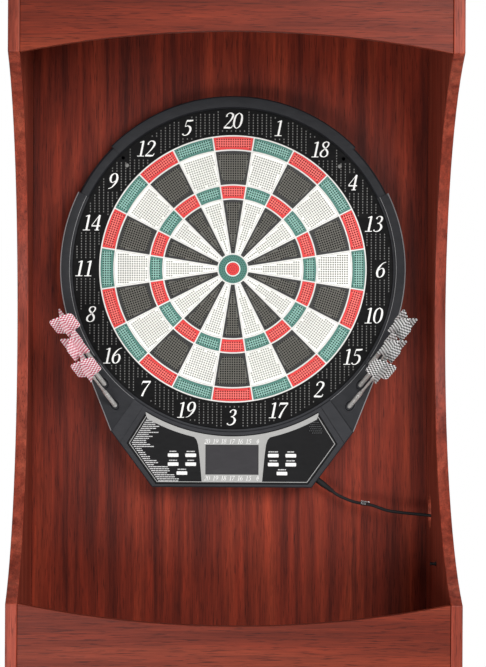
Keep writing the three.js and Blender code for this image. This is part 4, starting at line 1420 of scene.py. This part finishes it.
def make_holder(name, start, axis):
    """The raised lip round a dart's cup, highest on the side that the dart leans away from."""
    flat = Vector((axis[0], 0, axis[2])).normalized()
    across = Vector((-flat.z, 0, flat.x))
    rings = []
    for c, s in circle(1, 36):
        way = flat * c + across * s
        rim = Vector(start) + flat * (9.2 * c) + across * (7.0 * s)
        lift = 0.7 - 0.5 * c
        section = [(-0.9, 0.4), (-0.6, -lift * 0.8), (0, -lift), (0.6, -lift * 0.8), (0.9, 0.4)]
        rings.append([tuple(rim + way * a + Vector((0, b, 0))) for a, b in section])
    Solid().add(*loft(rings, joined=True)).make(name, "cabinet", "shell", FRAME_GREY, 40)


# ---------------------------------------------------------------- carried-over CAD nodes and studio


def finish_cad_nodes():
    finishes = {
        "rear_housing": SHELL, "rubber_sheet": RUBBER, "sensor_board": CIRCUIT, "control_board": CIRCUIT,
        "display_module": BLACK, "speaker": STEEL, "power_socket": BLACK, "back_panel": WOOD_BACK,
    }
    for node, finish in finishes.items():
        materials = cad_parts[node].data.materials
        materials.clear()
        materials.append(finish)


def make_screws():
    for i in (1, 2):
        low, high = (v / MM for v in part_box(f"hanger_screw_{i}"))
        base = Vector(((low.x + high.x) / 2, high.y, (low.z + high.z) / 2))
        length = high.y - low.y
        profile = [(0.3, 0), (1.6, 3), *repeated(8, 3.6, 1.4, [(2.2, 0), (1.5, 0.7)]), (2.1, 15)]
        profile += shifted([(2.1, -3.4), (4.6, -3.2), (4.5, -2), (3.6, -0.6), (1.2, 0)], length)
        screw = Solid().add(*lathe(profile, 24, along_axis(base, (0, -1, 0))))
        screw = screw.make(f"hanger_screw_threaded_{i}", "cabinet", "metal", STEEL, 25)
        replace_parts(screw, f"hanger_screw_{i}")


# Each light: its place, what it points at, its size and its power.
LIGHTS = {
    "key": ((1.3, -2.7, 2.5), (0, 0.1, 1.65), (1.8, 1.2), 72),
    "fill": ((-1.2, -3.0, 0.5), (0, 0.1, 1.5), (2.2, 1.0), 52),
}
FLOOR_REACH = 9
AMBIENT = 0.4
BACKDROP = 1.0


def area_light(name, place, target, size, power):
    lamp = bpy.data.lights.new(name, "AREA")
    lamp.shape = "RECTANGLE"
    lamp.size, lamp.size_y = size
    lamp.energy = power
    light = put_in_scene(name, lamp)
    light.location = place
    light.rotation_euler = (Vector(target) - Vector(place)).to_track_quat("-Z", "Y").to_euler()


def make_world():
    """A white backdrop, with a dimmer white light from all round."""
    world = bpy.data.worlds.new("studio")
    bpy.context.scene.world = world
    world.use_nodes = True
    tree = world.node_tree
    ambient = tree.nodes["Background"]
    backdrop = tree.nodes.new("ShaderNodeBackground")
    for background, strength in ((ambient, AMBIENT), (backdrop, BACKDROP)):
        background.inputs["Color"].default_value = (1, 1, 1, 1)
        background.inputs["Strength"].default_value = strength
    seen = tree.nodes.new("ShaderNodeLightPath").outputs["Is Camera Ray"]
    blend = tree.nodes.new("ShaderNodeMixShader")
    tree.links.new(seen, blend.inputs["Fac"])
    tree.links.new(ambient.outputs["Background"], blend.inputs[1])
    tree.links.new(backdrop.outputs["Background"], blend.inputs[2])
    tree.links.new(blend.outputs["Shader"], tree.nodes["World Output"].inputs["Surface"])


def make_studio():
    mesh = bpy.data.meshes.new("studio_floor")
    mesh.from_pydata([(x * FLOOR_REACH, y * FLOOR_REACH, 0) for x, y in QUARTERS], [], [(2, 3, 0, 1)])
    mesh.materials.append(plastic("studio_paint", (226, 224, 221), 0.02, 0.8, 60, 0.0))
    put_in_scene("studio_floor", mesh)
    make_world()
    for name, light in LIGHTS.items():
        area_light(name, *light)
    bpy.context.scene.view_settings.view_transform = "Standard"


make_camera()
make_lead()
make_cabinet()
make_bezel()
make_catch_ring()
make_numbers()
make_spider()
make_segments()
make_console()
make_darts()
make_screws()
finish_cad_nodes()
make_studio()
